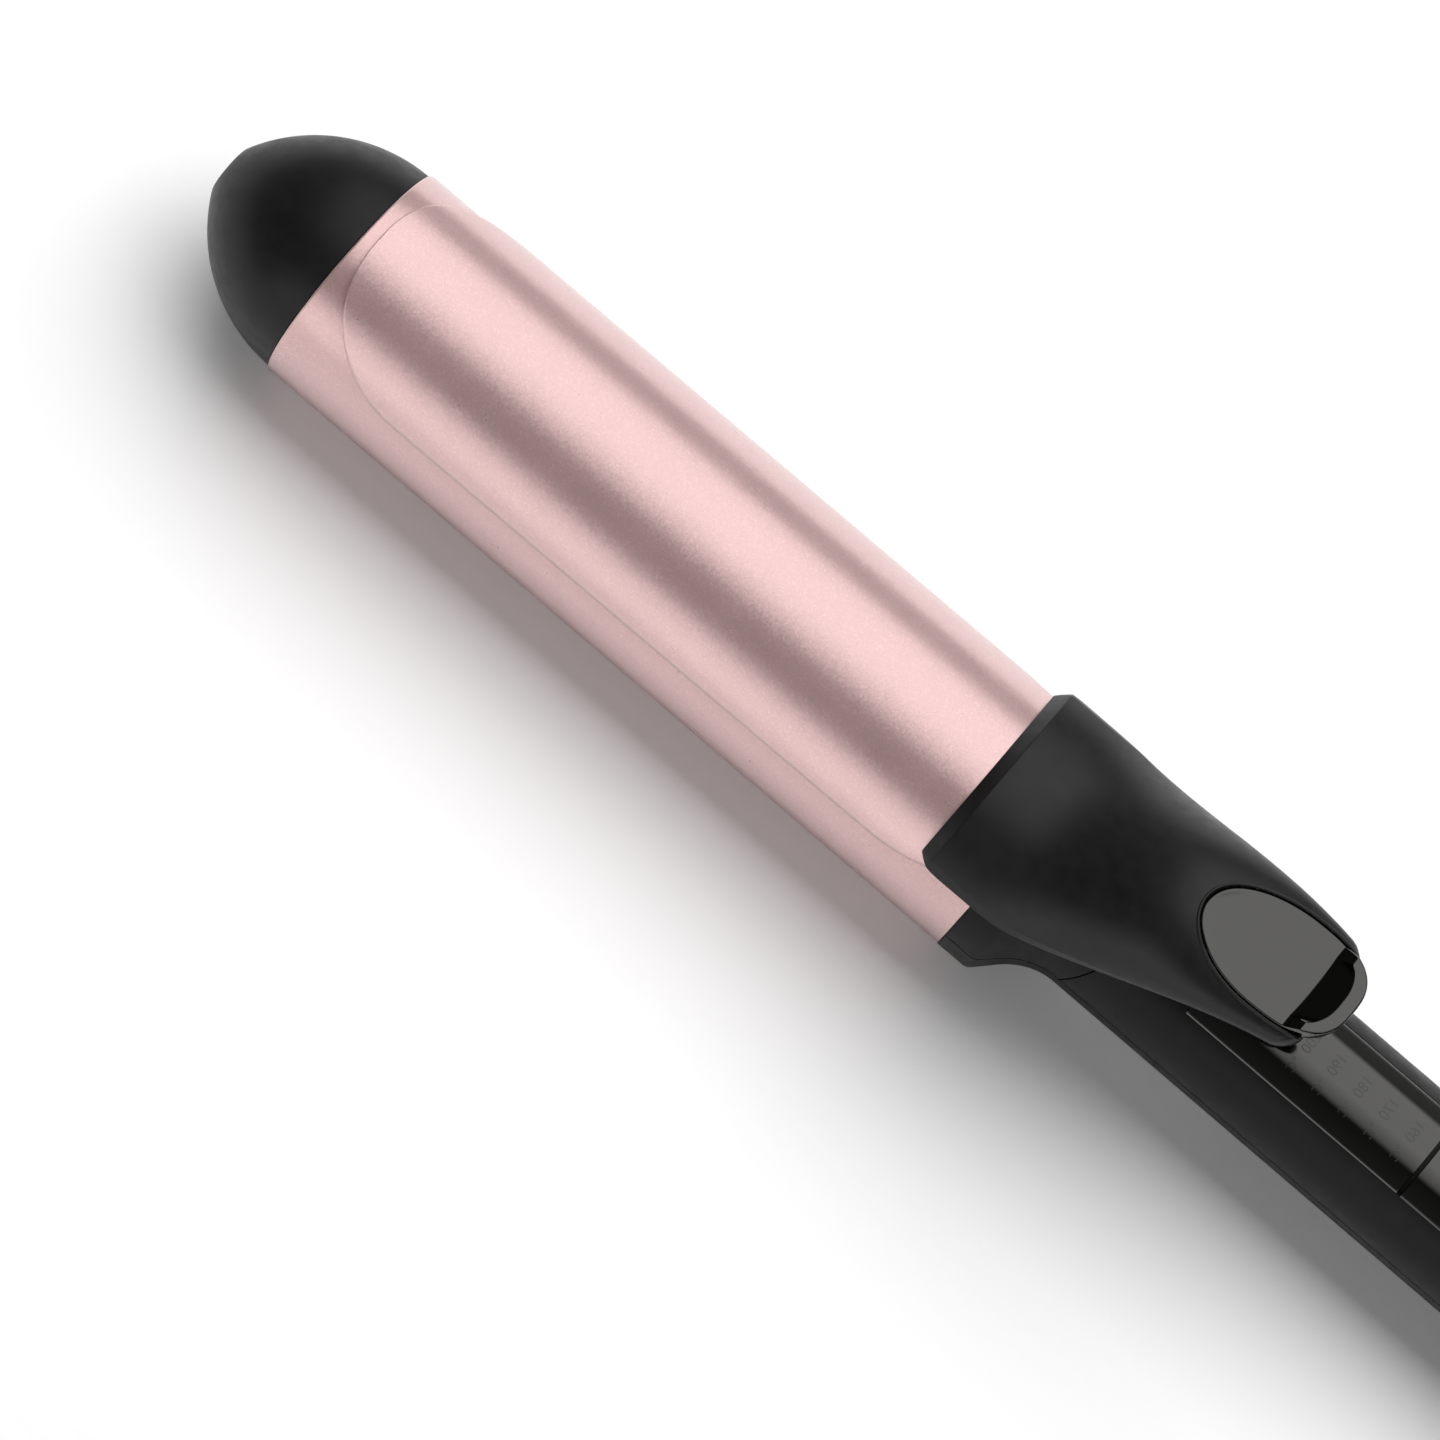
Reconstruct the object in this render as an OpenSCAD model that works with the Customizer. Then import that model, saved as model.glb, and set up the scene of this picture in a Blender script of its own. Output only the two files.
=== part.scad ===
// Curling iron: a heated barrel with a sprung clip, a cool tip and a two-shell handle.
// Built lying down with the thumb lever up. +X runs from the cool tip to the tail.

/* [Barrel] */
// Outside diameter of the heated barrel
barrel_d = 38; // [36:0.5:42]
// Length of barrel between the cool tip and the collar
barrel_len = 132; // [118:1:150]
// Wall of the barrel tube
barrel_wall = 1; // [0.8:0.1:1.4]

/* [Cool tip] */
// Length of the cool tip in front of the barrel
tip_len = 24; // [22:0.5:28]
// Radius of the small nose face at the end of the tip
nose_r = 4.1; // [3:0.1:6]
// How much smaller the tip is than the barrel at their joint
tip_step = 0.45; // [0.2:0.05:0.8]
// Wall of the tip
tip_wall = 2.4; // [1.8:0.1:3]
// Length of the tip's spigot inside the barrel
spigot_len = 9; // [6:0.5:12]

/* [Heater] */
// Width of a ceramic heater plate
heater_w = 12; // [10:0.5:14]
// Thickness of a ceramic heater plate
heater_t = 2; // [1.6:0.1:2.6]
// Number of ceramic heater plates
heater_count = 3; // [2:1:4]
// Wall and web of a heat spreader
spreader_wall = 2; // [1.6:0.1:2.6]
// Distance from the spreaders' front end to the tip's spigot
spreader_gap = 5; // [2:0.5:8]
// Radius of a heater lead with its sleeve
lead_r = 0.8; // [0.6:0.05:1]

/* [Clip] */
// Thickness of the clip's steel
clip_t = 0.6; // [0.5:0.05:0.8]
// Gap under the clip at the tip
clip_gap = 0.3; // [0.3:0.05:0.5]
// Extra gap under the clip where it enters the lever's hood
clip_rise = 0.75; // [0.4:0.05:1]
// Angle from the top of the barrel to the clip's long edges
clip_angle = 62; // [56:1:68]
// Distance from the barrel's end to the clip's front end
clip_setback = 2.2; // [1:0.1:4]
// Length of the clip's rounded front end
clip_nose_len = 20; // [14:0.5:24]

/* [Thumb lever] */
// Height of the hood above the barrel's surface
hood_rise = 3.8; // [3.4:0.1:4.4]
// Length of barrel that the hood covers
hood_overlap = 10.9; // [8:0.1:13]
// Angle from the top to the hood's side edges
hood_angle = 50; // [46:1:56]
// How much further out the hood's side edges are than its top
hood_flare = 0.9; // [0.6:0.1:1.2]
// Wall of the lever's hood
lever_wall = 2; // [1.8:0.1:2.2]
// Length of the lever
lever_len = 59.2; // [57:0.1:62]
// Height of the lever's rear end above the hood
lever_lift = 13; // [11:0.5:15]
// Half the width of the lever's rear end
lever_tail_w = 9.3; // [9:0.1:10.4]
// Length of the thumb pad
pad_len = 26.4; // [24:0.1:28]
// Half the width of the thumb pad
pad_w = 8.3; // [7:0.1:8.5]
// Depth of the recess that holds the thumb pad
pad_depth = 2.2; // [1.8:0.1:2.4]

/* [Lever hinge] */
// Radius of the hinge pin
pin_r = 1.5; // [1.2:0.1:1.6]
// Radial clearance of a turning pin
pin_play = 0.05; // [0.02:0.01:0.08]
// Depth of the hinge pin below the barrel's top
pivot_drop = 4; // [3.8:0.1:4.4]
// Distance from the collar ring to the hinge pin
pivot_back = 8.2; // [7.8:0.1:8.8]
// Half the width over the collar's two knuckles
knuckle_w = 6.9; // [6.5:0.1:7.2]
// Thickness of the lever bracket
bracket_t = 1.2; // [1:0.1:1.3]
// Wire diameter of the torsion spring
spring_wire = 0.9; // [0.7:0.05:1]
// Number of spring coils
spring_coils = 5; // [4:1:5]

/* [Collar and neck] */
// Length of the collar ring
collar_len = 4.8; // [4.4:0.1:8]
// Height of the collar ring above the barrel
collar_proud = 0.1; // [0:0.05:0.4]
// Length of the neck between the collar ring and the handle
neck_len = 11.7; // [11:0.1:14]
// Radius of the collar's rounded shoulder
shoulder_r = 1.8; // [1:0.1:2]
// Half the width of the flat rest foot under the collar
foot_w = 8.5; // [6:0.5:10]

/* [Handle] */
// Diameter of the handle
handle_d = 25.4; // [24.6:0.1:27]
// Height of the handle's axis above the barrel's axis
handle_rise = 1.6; // [0.8:0.1:1.8]
// Length of the handle behind the neck
handle_len = 145.5; // [140:0.5:165]
// Wall of the handle shells
shell_wall = 2; // [1.8:0.1:2.4]
// Length of the rounded tail
tail_len = 10; // [8:0.5:12]
// Radius of the tail's end face
tail_r = 9.6; // [9.2:0.1:10.4]
// Width of the seams between shells
seam = 0.1; // [0.05:0.05:0.2]

/* [Control panel] */
// Angle from the top to the panel's edges
panel_angle = 36.5; // [34:0.5:42]
// Thickness of the display window and keypad panel
panel_t = 1.2; // [1:0.1:1.4]
// Distance from the neck to the display window
window_back = 17.5; // [16:0.5:22]
// Length of the display window
window_len = 40.7; // [38:0.1:44]
// Length of the keypad panel
keypad_len = 47; // [45:0.5:52]
// Joint between the display window and the keypad panel
panel_seam = 0.7; // [0.4:0.1:1]
// Distance between two temperature steps on the display
step_pitch = 5; // [4.5:0.1:5.5]
// Radius of the plus and minus buttons
button_r = 3; // [2.6:0.1:3.2]
// Radius of the power button
power_r = 4; // [3.6:0.1:4.3]
// Travel of each button
button_travel = 0.6; // [0.4:0.1:0.7]
// Height of the buttons above the panel
button_proud = 0.3; // [0.2:0.1:0.6]

/* [Circuit board] */
// Thickness of the circuit board
board_t = 1.6; // [1.2:0.2:1.6]
// Half the width of the circuit board
board_w = 8.4; // [7.5:0.1:8.6]
// Height of the board's underside above the handle's axis
board_rise = 3.5; // [3:0.1:3.8]

/* [Folding stand] */
// Length of the stand behind its pin
stand_len = 36; // [30:1:44]
// Half the width of the stand
stand_w = 5.8; // [5:0.1:6.2]
// Thickness of the stand's steel
stand_t = 1.2; // [1:0.1:1.5]
// Radius of the stand's pin
stand_pin_r = 1; // [0.8:0.1:1.1]

/* [Swivel] */
// Radius of the cord bore through the swivel
cord_bore_r = 3.5; // [3:0.1:3.6]
// Radius of the swivel's neck in the tail
swivel_r = 7.9; // [7:0.1:8.2]
// Length of the swivel behind the tail
swivel_len = 12; // [10:0.5:16]
// Length of the swivel's shaft in front of its flange
shaft_len = 18; // [16:0.5:20]

/* [Hidden] */
$fn = 96;
eps = 0.01;

// Barrel, collar and handle in a row along X, from the joint of tip and barrel.
barrel_r = barrel_d / 2;
tube_r = barrel_r - barrel_wall;
collar_r = barrel_r + collar_proud;
collar_end = barrel_len + collar_len;
handle_x = collar_end + neck_len;
handle_r = handle_d / 2;
handle_in = handle_r - shell_wall;
handle_top = handle_rise + handle_r;
tail_end = handle_x + handle_len;
tail_x = tail_end - tail_len;
swivel_end = tail_end + swivel_len;

// Clearances of pieces that are fixed to each other, and of pieces that move.
fit_gap = 0.05;
slide_gap = 0.2;
move_gap = 0.35;

// Cool tip: its side is one arc that meets the joint squarely and ends at the nose face.
tip_r = barrel_r - tip_step;
nose_dome = 0.6;
tip_side = tip_len - nose_dome;
tip_arc_r = (tip_side * tip_side + (tip_r - nose_r) * (tip_r - nose_r)) / (2 * (tip_r - nose_r));
nose_arc_r = (nose_dome * nose_dome + nose_r * nose_r) / (2 * nose_dome);

// Heater stack, from the middle outwards: plate, electrode strip, film, spreader web.
strip_t = 0.2;
film_t = 0.2;
web_z = heater_t / 2 + strip_t + film_t;
spreader_r = tube_r - 2 * fit_gap;
spreader_x0 = spigot_len + spreader_gap;
mount_x0 = barrel_len - 14;
spreader_x1 = mount_x0 - 2;
stack_margin = 4;
plate_gap = 4;
plate_run = spreader_x1 - spreader_x0 - 2 * stack_margin;
plate_len = (plate_run - (heater_count - 1) * plate_gap) / heater_count;
film_lip = 1;
leaf_t = 0.3;
leaf_bow_r = 5;
leaf_inset = 25;
leaf_half = sqrt(pow(leaf_bow_r, 2) - pow(leaf_bow_r - 2 * web_z, 2));
leaf_y = heater_w / 2 + film_lip + leaf_half + 0.3;

// Barrel mount: a spigot in the barrel, a flange in the collar and a shank in the neck.
mount_wall = 3.5;
mount_flange_r = tube_r - 0.8;
mount_flange_x1 = collar_end - 0.6;
shank_r = handle_in - 0.9;
shank_bore = shank_r - 2.7;
shank_x1 = handle_x + 0.5;
cavity_x0 = shank_x1 + 0.5;

// Lever, clip and hinge.
hood_r = barrel_r + hood_rise;
lever_x0 = barrel_len - hood_overlap;
lever_x1 = lever_x0 + lever_len;
hood_side_r = hood_r + hood_flare;
hood_w = hood_side_r * sin(hood_angle);
hood_edge_z = hood_side_r * cos(hood_angle);
hood_arch = 2 * atan((hood_r - hood_edge_z) / hood_w);
tail_arch = 78;
tail_shoulder = 4.5;
lever_rise_x0 = barrel_len - 3;
lever_rise_len = 30;
lever_edge_len = lever_x1 - lever_rise_x0 - 7.3;
lever_tail_wall = lever_wall + 1.2;
rim_len = 2;
rim_drop = 1.6;
lever_end_len = 3.5;
pad_x0 = lever_x0 + 35.8;
pad_wide = 0.553;
pivot_x = collar_end + pivot_back + 1;
pivot_z = barrel_r - pivot_drop;
knuckle_r = pin_r + 0.9;
cheek_r = pin_r + 1.1;
cheek_in = knuckle_w + 0.3;
cheek_out = cheek_in + 1;
coil_r = pin_r + 0.5 + spring_wire / 2;
spring_w = spring_coils * spring_wire / 2;
spring_pocket_r = coil_r + spring_wire / 2 + 0.3;
spring_pocket_w = spring_w + 0.3;
clip_w = (barrel_r + clip_gap + clip_t) * sin(clip_angle);
clip_slope = clip_rise / lever_x0;
clip_body_x1 = barrel_len - 4;
clip_nose_power = 2.5;
clip_heel_len = 15;
clip_heel_drop = 4;
bracket_x0 = pivot_x - 5.5;
bracket_x1 = pivot_x + 13;
tongue_w = knuckle_w;
tongue_x1 = pivot_x + 7.5;
rivet_x = pivot_x + 4;
rivet_y = 5;
rivet_r = 1.1;
rivet_head_r = 1.8;
lever_screw_x = pivot_x + 10;
lever_screw_y = 4;
lever_screw_r = 1;

// Neck: a convex shoulder, a straight 45 degree flank and a concave blend into the handle.
neck_drop = collar_r - handle_r;
neck_lap = 0.05; // the neck's flat facets end this far inside the round handle
neck_blend_r = (neck_len - shoulder_r * (sin(45) + cos(45) - 1) - neck_drop) / (sin(45) + cos(45) - 1);
split_z = handle_rise;
collar_slant = 23;
collar_cut_x = handle_x + 0.5;

// Panel, buttons and circuit board.
window_x0 = handle_x + window_back;
window_x1 = window_x0 + window_len;
keypad_x0 = window_x1 + panel_seam;
keypad_x1 = keypad_x0 + keypad_len;
panel_w = handle_r * sin(panel_angle);
ledge = 1.5;
plus_x = keypad_x0 + 9.6;
minus_x = plus_x + 10.5;
power_x = minus_x + 13.5;
flange_t = 1.2;
flange_lip = 0.8;
button_base = handle_rise + sqrt(pow(handle_r - panel_t, 2) - pow(power_r + flange_lip, 2)) - flange_t - 0.3;
board_z = handle_rise + board_rise;
board_top = board_z + board_t;
board_x0 = window_x0 + 4;
board_x1 = keypad_x1 - 2.4;
switch_w = 3;
switch_h = 2;
switch_stem_r = 1.4;
relay = [13, 9, 7];
driver = [10, 10, 4.6];
capacitor_r = 3.2;
capacitor_h = 8;
led_steps = 6;
led_x0 = window_x1 - 3.7 - (led_steps - 1) * step_pitch;

// Screws in the shells and the collar.
screw_r = 1.25;
screw_head_r = 2.4;
screw_head_t = 1.5;
boss_r = 2.9;
screw_floor = 1.6;
front_screw_x = handle_x + 11.5;
rear_screw_x = keypad_x1 + 4;
collar_screw_x = collar_end + 3.3;
collar_head_z = -shank_r - 2.2;

// Folding stand under the neck.
stand_x = collar_end + 9.2;
stand_z = -shank_r - 3;
stand_lobe_r = stand_pin_r + 1.1;
stand_knuckle_w = 3;
stand_ear_w = 5;

// Swivel in the tail. Its shaft, slip rings and retainer share the room behind the rear screw.
swivel_flange_r = handle_in - 0.9;
swivel_flange_t = 3;
swivel_wall_x = tail_end - 6;
shaft_r = cord_bore_r + 0.8;
shaft_x1 = swivel_wall_x - swivel_flange_t;
rear_room = shaft_x1 - rear_screw_x - boss_r;
rear_room_std = 23.7;
rear_share = rear_room / rear_room_std;
shaft_x0 = shaft_x1 - shaft_len * rear_share;
slip_ring_r = shaft_r + 0.9;
slip_ring_w = 2.4 * rear_share;
slip_ring_x = [shaft_x0 + 2 * rear_share, shaft_x0 + 7 * rear_share];
retainer_x = shaft_x1 - 4 * rear_share;
retainer_t = 2.5 * rear_share;

// Beyond the outside of everything, for cuts.
far = 2 * handle_d;

function ease(t) = let (u = min(max(t, 0), 1)) u * u * (3 - 2 * u);
function mix(a, b, t) = a + (b - a) * min(max(t, 0), 1);

// Everything is modelled about the barrel's axis, then stood on the ground at its own middle.
module place() translate([(tip_len - swivel_end) / 2, 0, barrel_r]) children();

module rod_x(r, x0, x1, y = 0, z = 0) translate([x0, y, z]) rotate([0, 90, 0]) cylinder(r = r, h = x1 - x0);
module rod_y(r, y0, y1, x, z) translate([x, y0, z]) rotate([-90, 0, 0]) cylinder(r = r, h = y1 - y0);
module rod_z(r, z0, z1, x, y = 0) translate([x, y, z0]) cylinder(r = r, h = z1 - z0);
module block(x0, x1, w, z0, z1) translate([x0, -w, z0]) cube([x1 - x0, 2 * w, z1 - z0]);
module slab(x0, x1, y0, y1, z0, z1) translate([x0, y0, z0]) cube([x1 - x0, y1 - y0, z1 - z0]);
module ring_x(r_out, r_in, x0, x1, z = 0) difference() {
    rod_x(r_out, x0, x1, 0, z);
    rod_x(r_in, x0 - 1, x1 + 1, 0, z);
}
// A solid of revolution about X, from a list of [x, r] points.
module turned(points, z = 0) translate([0, 0, z]) rotate([0, 90, 0])
    rotate_extrude() polygon([for (p = points) [p[1], p[0]]]);
// Left and right copies about the middle plane.
module both() { children(); mirror([0, 1, 0]) children(); }
// A closed solid through rings of points, each ring in a plane across X.
module loft(rings) {
    n = len(rings[0]);
    last = (len(rings) - 1) * n;
    sides = [for (k = [0 : len(rings) - 2]) for (i = [0 : n - 1])
        let (a = k * n + i, b = k * n + (i + 1) % n) each [[a, b, a + n], [b, b + n, a + n]]];
    polyhedron(concat_all(rings), concat([[for (i = [n - 1 : -1 : 0]) i]], [[for (i = [0 : n - 1]) last + i]], sides));
}
function concat_all(lists) = [for (list = lists) each list];
// A wire through a list of points, all of it running towards +X.
module wire(points, r) loft([for (p = points) [for (i = [0 : 11]) p + [0, r * sin(30 * i), r * cos(30 * i)]]]);

// ---- Cool tip and barrel ----

function tip_arc() = [for (i = [0 : 12]) let (x = tip_side * i / 12)
    [-x, tip_r - tip_arc_r + sqrt(tip_arc_r * tip_arc_r - x * x)]];
function nose_arc() = [for (i = [1 : 4]) let (r = nose_r * (1 - i / 4))
    [-tip_side - nose_dome + nose_arc_r - sqrt(nose_arc_r * nose_arc_r - r * r), r]];

module cool_tip() color([0.13, 0.13, 0.13]) difference() {
    union() {
        turned(concat([[0, 0]], tip_arc(), nose_arc()));
        rod_x(tube_r - fit_gap, -eps, spigot_len);
    }
    rod_x(tube_r - tip_wall, -tip_len / 4, spigot_len + 1);
    rod_x(nose_r + 2, -tip_len * 0.6, 0);
}

module barrel_tube() color([0.85, 0.65, 0.62]) ring_x(barrel_r, tube_r, 0, barrel_len);

module half_spreader() {
    intersection() {
        ring_x(spreader_r, spreader_r - spreader_wall, spreader_x0, spreader_x1);
        block(spreader_x0, spreader_x1, barrel_r, web_z, barrel_r);
    }
    intersection() {
        rod_x(spreader_r - eps, spreader_x0, spreader_x1);
        block(spreader_x0, spreader_x1, barrel_r, web_z, web_z + spreader_wall);
    }
}
module heat_spreader_upper() color([0.78, 0.79, 0.8]) half_spreader();
module heat_spreader_lower() color([0.78, 0.79, 0.8]) rotate([180, 0, 0]) half_spreader();

module heater_plates() color([0.9, 0.88, 0.82])
    for (i = [0 : heater_count - 1])
        let (x = spreader_x0 + stack_margin + i * (plate_len + plate_gap))
            block(x, x + plate_len, heater_w / 2, -heater_t / 2, heater_t / 2);

// One layer of the stack above the plates and its twin below them.
module stack_layers(z, t, w, x1) for (s = [-1, 1])
    block(spreader_x0 + stack_margin - 1, x1, w, s > 0 ? z : -z - t, s > 0 ? z + t : -z);
module electrode_strips() color([0.82, 0.66, 0.32])
    stack_layers(heater_t / 2, strip_t, heater_w / 2, spreader_x1 + 1);
module insulating_films() color([0.8, 0.55, 0.2])
    stack_layers(heater_t / 2 + strip_t, film_t, heater_w / 2 + film_lip, spreader_x1);

// Bowed leaves beside the plates that press the spreaders apart.
module pressure_springs() color([0.7, 0.7, 0.72]) {
    both() intersection() {
        translate([0, leaf_y, 0]) ring_x(leaf_bow_r, leaf_bow_r - leaf_t, spreader_x0 + leaf_inset, spreader_x1 - leaf_inset,
            web_z - leaf_bow_r - eps);
        block(spreader_x0, spreader_x1, barrel_r, -web_z + eps, web_z);
    }
}

bead_r = 1.3;
bead_z = web_z + spreader_wall + bead_r;
bead_x = (spreader_x0 + spreader_x1) / 2;
module thermistor() color([0.75, 0.3, 0.2]) {
    translate([bead_x, 0, bead_z]) sphere(r = bead_r);
    both() wire([[bead_x, 0.6, bead_z], [mount_x0, 0.6, bead_z], [handle_x, boss_r + 0.7, bead_z],
        [front_screw_x, boss_r + 0.7, bead_z], [board_x0 - 1, boss_r + 0.7, board_top + 0.35],
        [board_x0 + 4, boss_r + 0.7, board_top + 0.35]], 0.3);
}

// The two power leads run through the mount's bore to the board's front end.
lead_y = heater_w / 2 - 1.6;
fuse_x0 = mount_x0 + 3;
fuse_len = 9;
fuse_r = 1.9;
function lead_route(x) = [[x, lead_y, 0], [handle_x + 4, lead_y, 0],
    [board_x0 + 1, lead_y + 1, board_z - lead_r - fit_gap], [board_x0 + 5, lead_y + 1, board_z - lead_r - fit_gap]];
lead_x0 = spreader_x1 - stack_margin + 1.5;
module thermal_fuse() color([0.85, 0.8, 0.65]) rod_x(fuse_r, fuse_x0, fuse_x0 + fuse_len, lead_y, 0);
module heater_leads() color([0.85, 0.85, 0.82]) {
    wire(lead_route(fuse_x0 + fuse_len), lead_r);
    wire([[lead_x0, lead_y, 0], [fuse_x0, lead_y, 0]], lead_r);
    mirror([0, 1, 0]) wire(lead_route(lead_x0), lead_r);
}

module barrel_mount() color([0.2, 0.2, 0.19]) difference() {
    union() {
        rod_x(tube_r - fit_gap, mount_x0, barrel_len);
        rod_x(mount_flange_r, barrel_len - eps, mount_flange_x1);
        rod_x(shank_r, mount_flange_x1 - eps, shank_x1);
    }
    rod_x(tube_r - mount_wall, mount_x0 - 1, barrel_len - 2);
    rod_x(shank_bore, mount_x0, shank_x1 + 1);
    rod_z(screw_r + fit_gap, -barrel_r, barrel_r, collar_screw_x);
}

// ---- Collar, neck and handle shells ----

// Outer radius along the neck, as [x, r] points.
function neck_profile() = concat([[barrel_len, collar_r]],
    [for (a = [0 : 11.25 : 45]) [collar_end + shoulder_r * sin(a), collar_r - shoulder_r * (1 - cos(a))]],
    [for (a = [45 : -7.5 : 7.5]) [handle_x - neck_blend_r * sin(a), handle_r + neck_blend_r * (1 - cos(a))]],
    [[handle_x, handle_r - neck_lap]]);
function neck_axis(x) = handle_rise * ease((x - collar_end) / neck_len);
function circle_ring(x, r, z, n = 60) = [for (i = [0 : n - 1]) [x, r * sin(360 * i / n), z + r * cos(360 * i / n)]];

module neck_form() {
    loft([for (p = neck_profile()) circle_ring(p[0], p[1], neck_axis(p[0]))]);
    rod_x(handle_r, handle_x - eps, cavity_x0 + 4, 0, handle_rise);
}

tail_arc_r = (tail_len * tail_len + pow(handle_r - tail_r, 2)) / (2 * (handle_r - tail_r));
function tail_arc() = [for (i = [0 : 8]) let (x = tail_len * i / 8)
    [tail_x + x, handle_r - tail_arc_r + sqrt(tail_arc_r * tail_arc_r - x * x)]];
module handle_form() turned(concat([[cavity_x0 - 1, 0], [cavity_x0 - 1, handle_r]], tail_arc(), [[tail_end, 0]]), handle_rise);

// Room inside the neck for the barrel mount.
module mount_room() {
    rod_x(mount_flange_r + fit_gap, barrel_len - 1, mount_flange_x1 + fit_gap);
    rod_x(shank_r + fit_gap, barrel_len, shank_x1 + 2);
}
// Room inside the handle, with the narrower seat of the swivel at the tail.
module handle_room() {
    rod_x(handle_in, cavity_x0, swivel_wall_x, 0, handle_rise);
    rod_x(swivel_r + slide_gap, swivel_wall_x - 1, tail_end + 1, 0, handle_rise);
}

// The slanted joint between the front collar and the upper shell, from the side dx onwards.
module behind_slant(dx) translate([collar_cut_x + dx, -far, split_z]) rotate([0, collar_slant, 0]) translate([0, 0, -far / 2])
    cube([handle_len + far, 2 * far, 2 * far]);

module front_collar() color([0.12, 0.12, 0.12]) difference() {
    union() {
        difference() {
            neck_form();
            block(barrel_len - 1, tail_end, far, -far, split_z + seam);
            behind_slant(0);
            // pockets for the spring and for the lever bracket's cheeks
            rod_y(spring_pocket_r, -spring_pocket_w, spring_pocket_w, pivot_x, pivot_z);
            slab(pivot_x, pivot_x + 4.4, -spring_pocket_w, spring_pocket_w, pivot_z - coil_r - 0.8, far);
            both() rod_y(cheek_r + move_gap, knuckle_w, cheek_out + 0.3, pivot_x, pivot_z);
        }
        both() {
            rod_y(knuckle_r, spring_pocket_w, knuckle_w, pivot_x, pivot_z);
            slab(pivot_x - knuckle_r, pivot_x + knuckle_r, spring_pocket_w, knuckle_w, shank_r, pivot_z);
        }
    }
    mount_room();
    rod_y(pin_r + pin_play, -far, far, pivot_x, pivot_z);
    rod_z(screw_r, 0, shank_r + 2.6, collar_screw_x);
}

module board_rib(x) {
    intersection() {
        rod_x(handle_in + eps, x - 0.8, x + 0.8, 0, handle_rise);
        block(x - 1, x + 1, far, -far, split_z);
    }
    block(x - 0.8, x + 0.8, board_w, split_z - eps, board_z - fit_gap);
}

module screw_boss(x, z0, z1) rod_z(boss_r, z0, z1, x);

module lower_shell() color([0.13, 0.13, 0.13]) difference() {
    union() {
        difference() {
            union() {
                neck_form();
                handle_form();
                block(barrel_len + 0.3, mount_flange_x1 - 0.3, foot_w, -barrel_r, -handle_r);
            }
            block(barrel_len - 1, tail_end + 1, far, split_z, far);
            block(barrel_len - 1, tail_end, far, -far, -barrel_r);
            handle_room();
            rod_y(stand_lobe_r + move_gap, -stand_knuckle_w - 0.1, stand_knuckle_w + 0.1, stand_x, stand_z);
        }
        // ears that carry the stand's pin
        both() {
            rod_y(stand_lobe_r, stand_knuckle_w + 0.1, stand_ear_w, stand_x, stand_z);
            slab(stand_x - stand_lobe_r, stand_x + stand_lobe_r, stand_knuckle_w + 0.1, stand_ear_w, stand_z, -shank_r - 0.5);
        }
        intersection() {
            rod_x(handle_in + eps, cavity_x0, tail_x, 0, handle_rise);
            union() for (x = [front_screw_x, rear_screw_x]) screw_boss(x, -handle_r, split_z);
        }
        for (t = [0.1, 0.5, 0.9]) board_rib(mix(board_x0, board_x1, t));
    }
    mount_room();
    rod_y(stand_pin_r + fit_gap, -far, far, stand_x, stand_z);
    for (x = [front_screw_x, rear_screw_x]) {
        rod_z(screw_r + fit_gap, -far, far, x);
        rod_z(screw_head_r + fit_gap, -far, handle_rise - handle_r + screw_floor, x);
    }
    rod_z(screw_r + fit_gap, -far, 0, collar_screw_x);
    rod_z(screw_head_r + fit_gap, -far, collar_head_z, collar_screw_x);
}

module upper_shell() color([0.13, 0.13, 0.13]) difference() {
    union() {
        difference() {
            handle_form();
            block(cavity_x0 - 2, tail_end + 1, far, -far, split_z + seam);
            handle_room();
        }
        intersection() {
            rod_x(handle_in + eps, cavity_x0, tail_x, 0, handle_rise);
            union() for (x = [front_screw_x, rear_screw_x]) screw_boss(x, split_z + seam, handle_top);
        }
    }
    // everything in front of the slanted joint belongs to the collar
    difference() {
        block(cavity_x0 - 5, collar_cut_x + 10, far, -far, far);
        behind_slant(seam);
    }
    panel_recess();
    for (x = [front_screw_x, rear_screw_x]) rod_z(screw_r, 0, handle_top - shell_wall, x);
}

// The panels lie flush in the upper shell, on a ledge around one long opening.
module panel_recess() {
    difference() {
        block(window_x0 - fit_gap, keypad_x1 + fit_gap, panel_w + fit_gap, split_z, far);
        rod_x(handle_r - panel_t - fit_gap, window_x0 - 1, keypad_x1 + 1, 0, handle_rise);
    }
    block(window_x0 + ledge, keypad_x1 - ledge, panel_w - ledge, handle_rise + handle_in / 2, far);
}
module panel(x0, x1) intersection() {
    ring_x(handle_r, handle_r - panel_t, x0, x1, handle_rise);
    block(x0, x1, panel_w, split_z, far);
}
module display_window() color([0.05, 0.05, 0.05]) panel(window_x0, window_x1);
module keypad_panel() color([0.04, 0.04, 0.04]) difference() {
    panel(keypad_x0, keypad_x1);
    rod_z(button_r + slide_gap, 0, far, plus_x);
    rod_z(button_r + slide_gap, 0, far, minus_x);
    rod_z(power_r + slide_gap, 0, far, power_x);
}

module button(x, r) {
    intersection() {
        rod_z(r, button_base, far, x);
        rod_x(handle_r + button_proud, x - r - 1, x + r + 1, 0, handle_rise);
    }
    rod_z(r + flange_lip, button_base, button_base + flange_t, x);
}
module power_button() color([0.16, 0.16, 0.16]) button(power_x, power_r);
module plus_button() color([0.16, 0.16, 0.16]) button(plus_x, button_r);
module minus_button() color([0.16, 0.16, 0.16]) button(minus_x, button_r);

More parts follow.
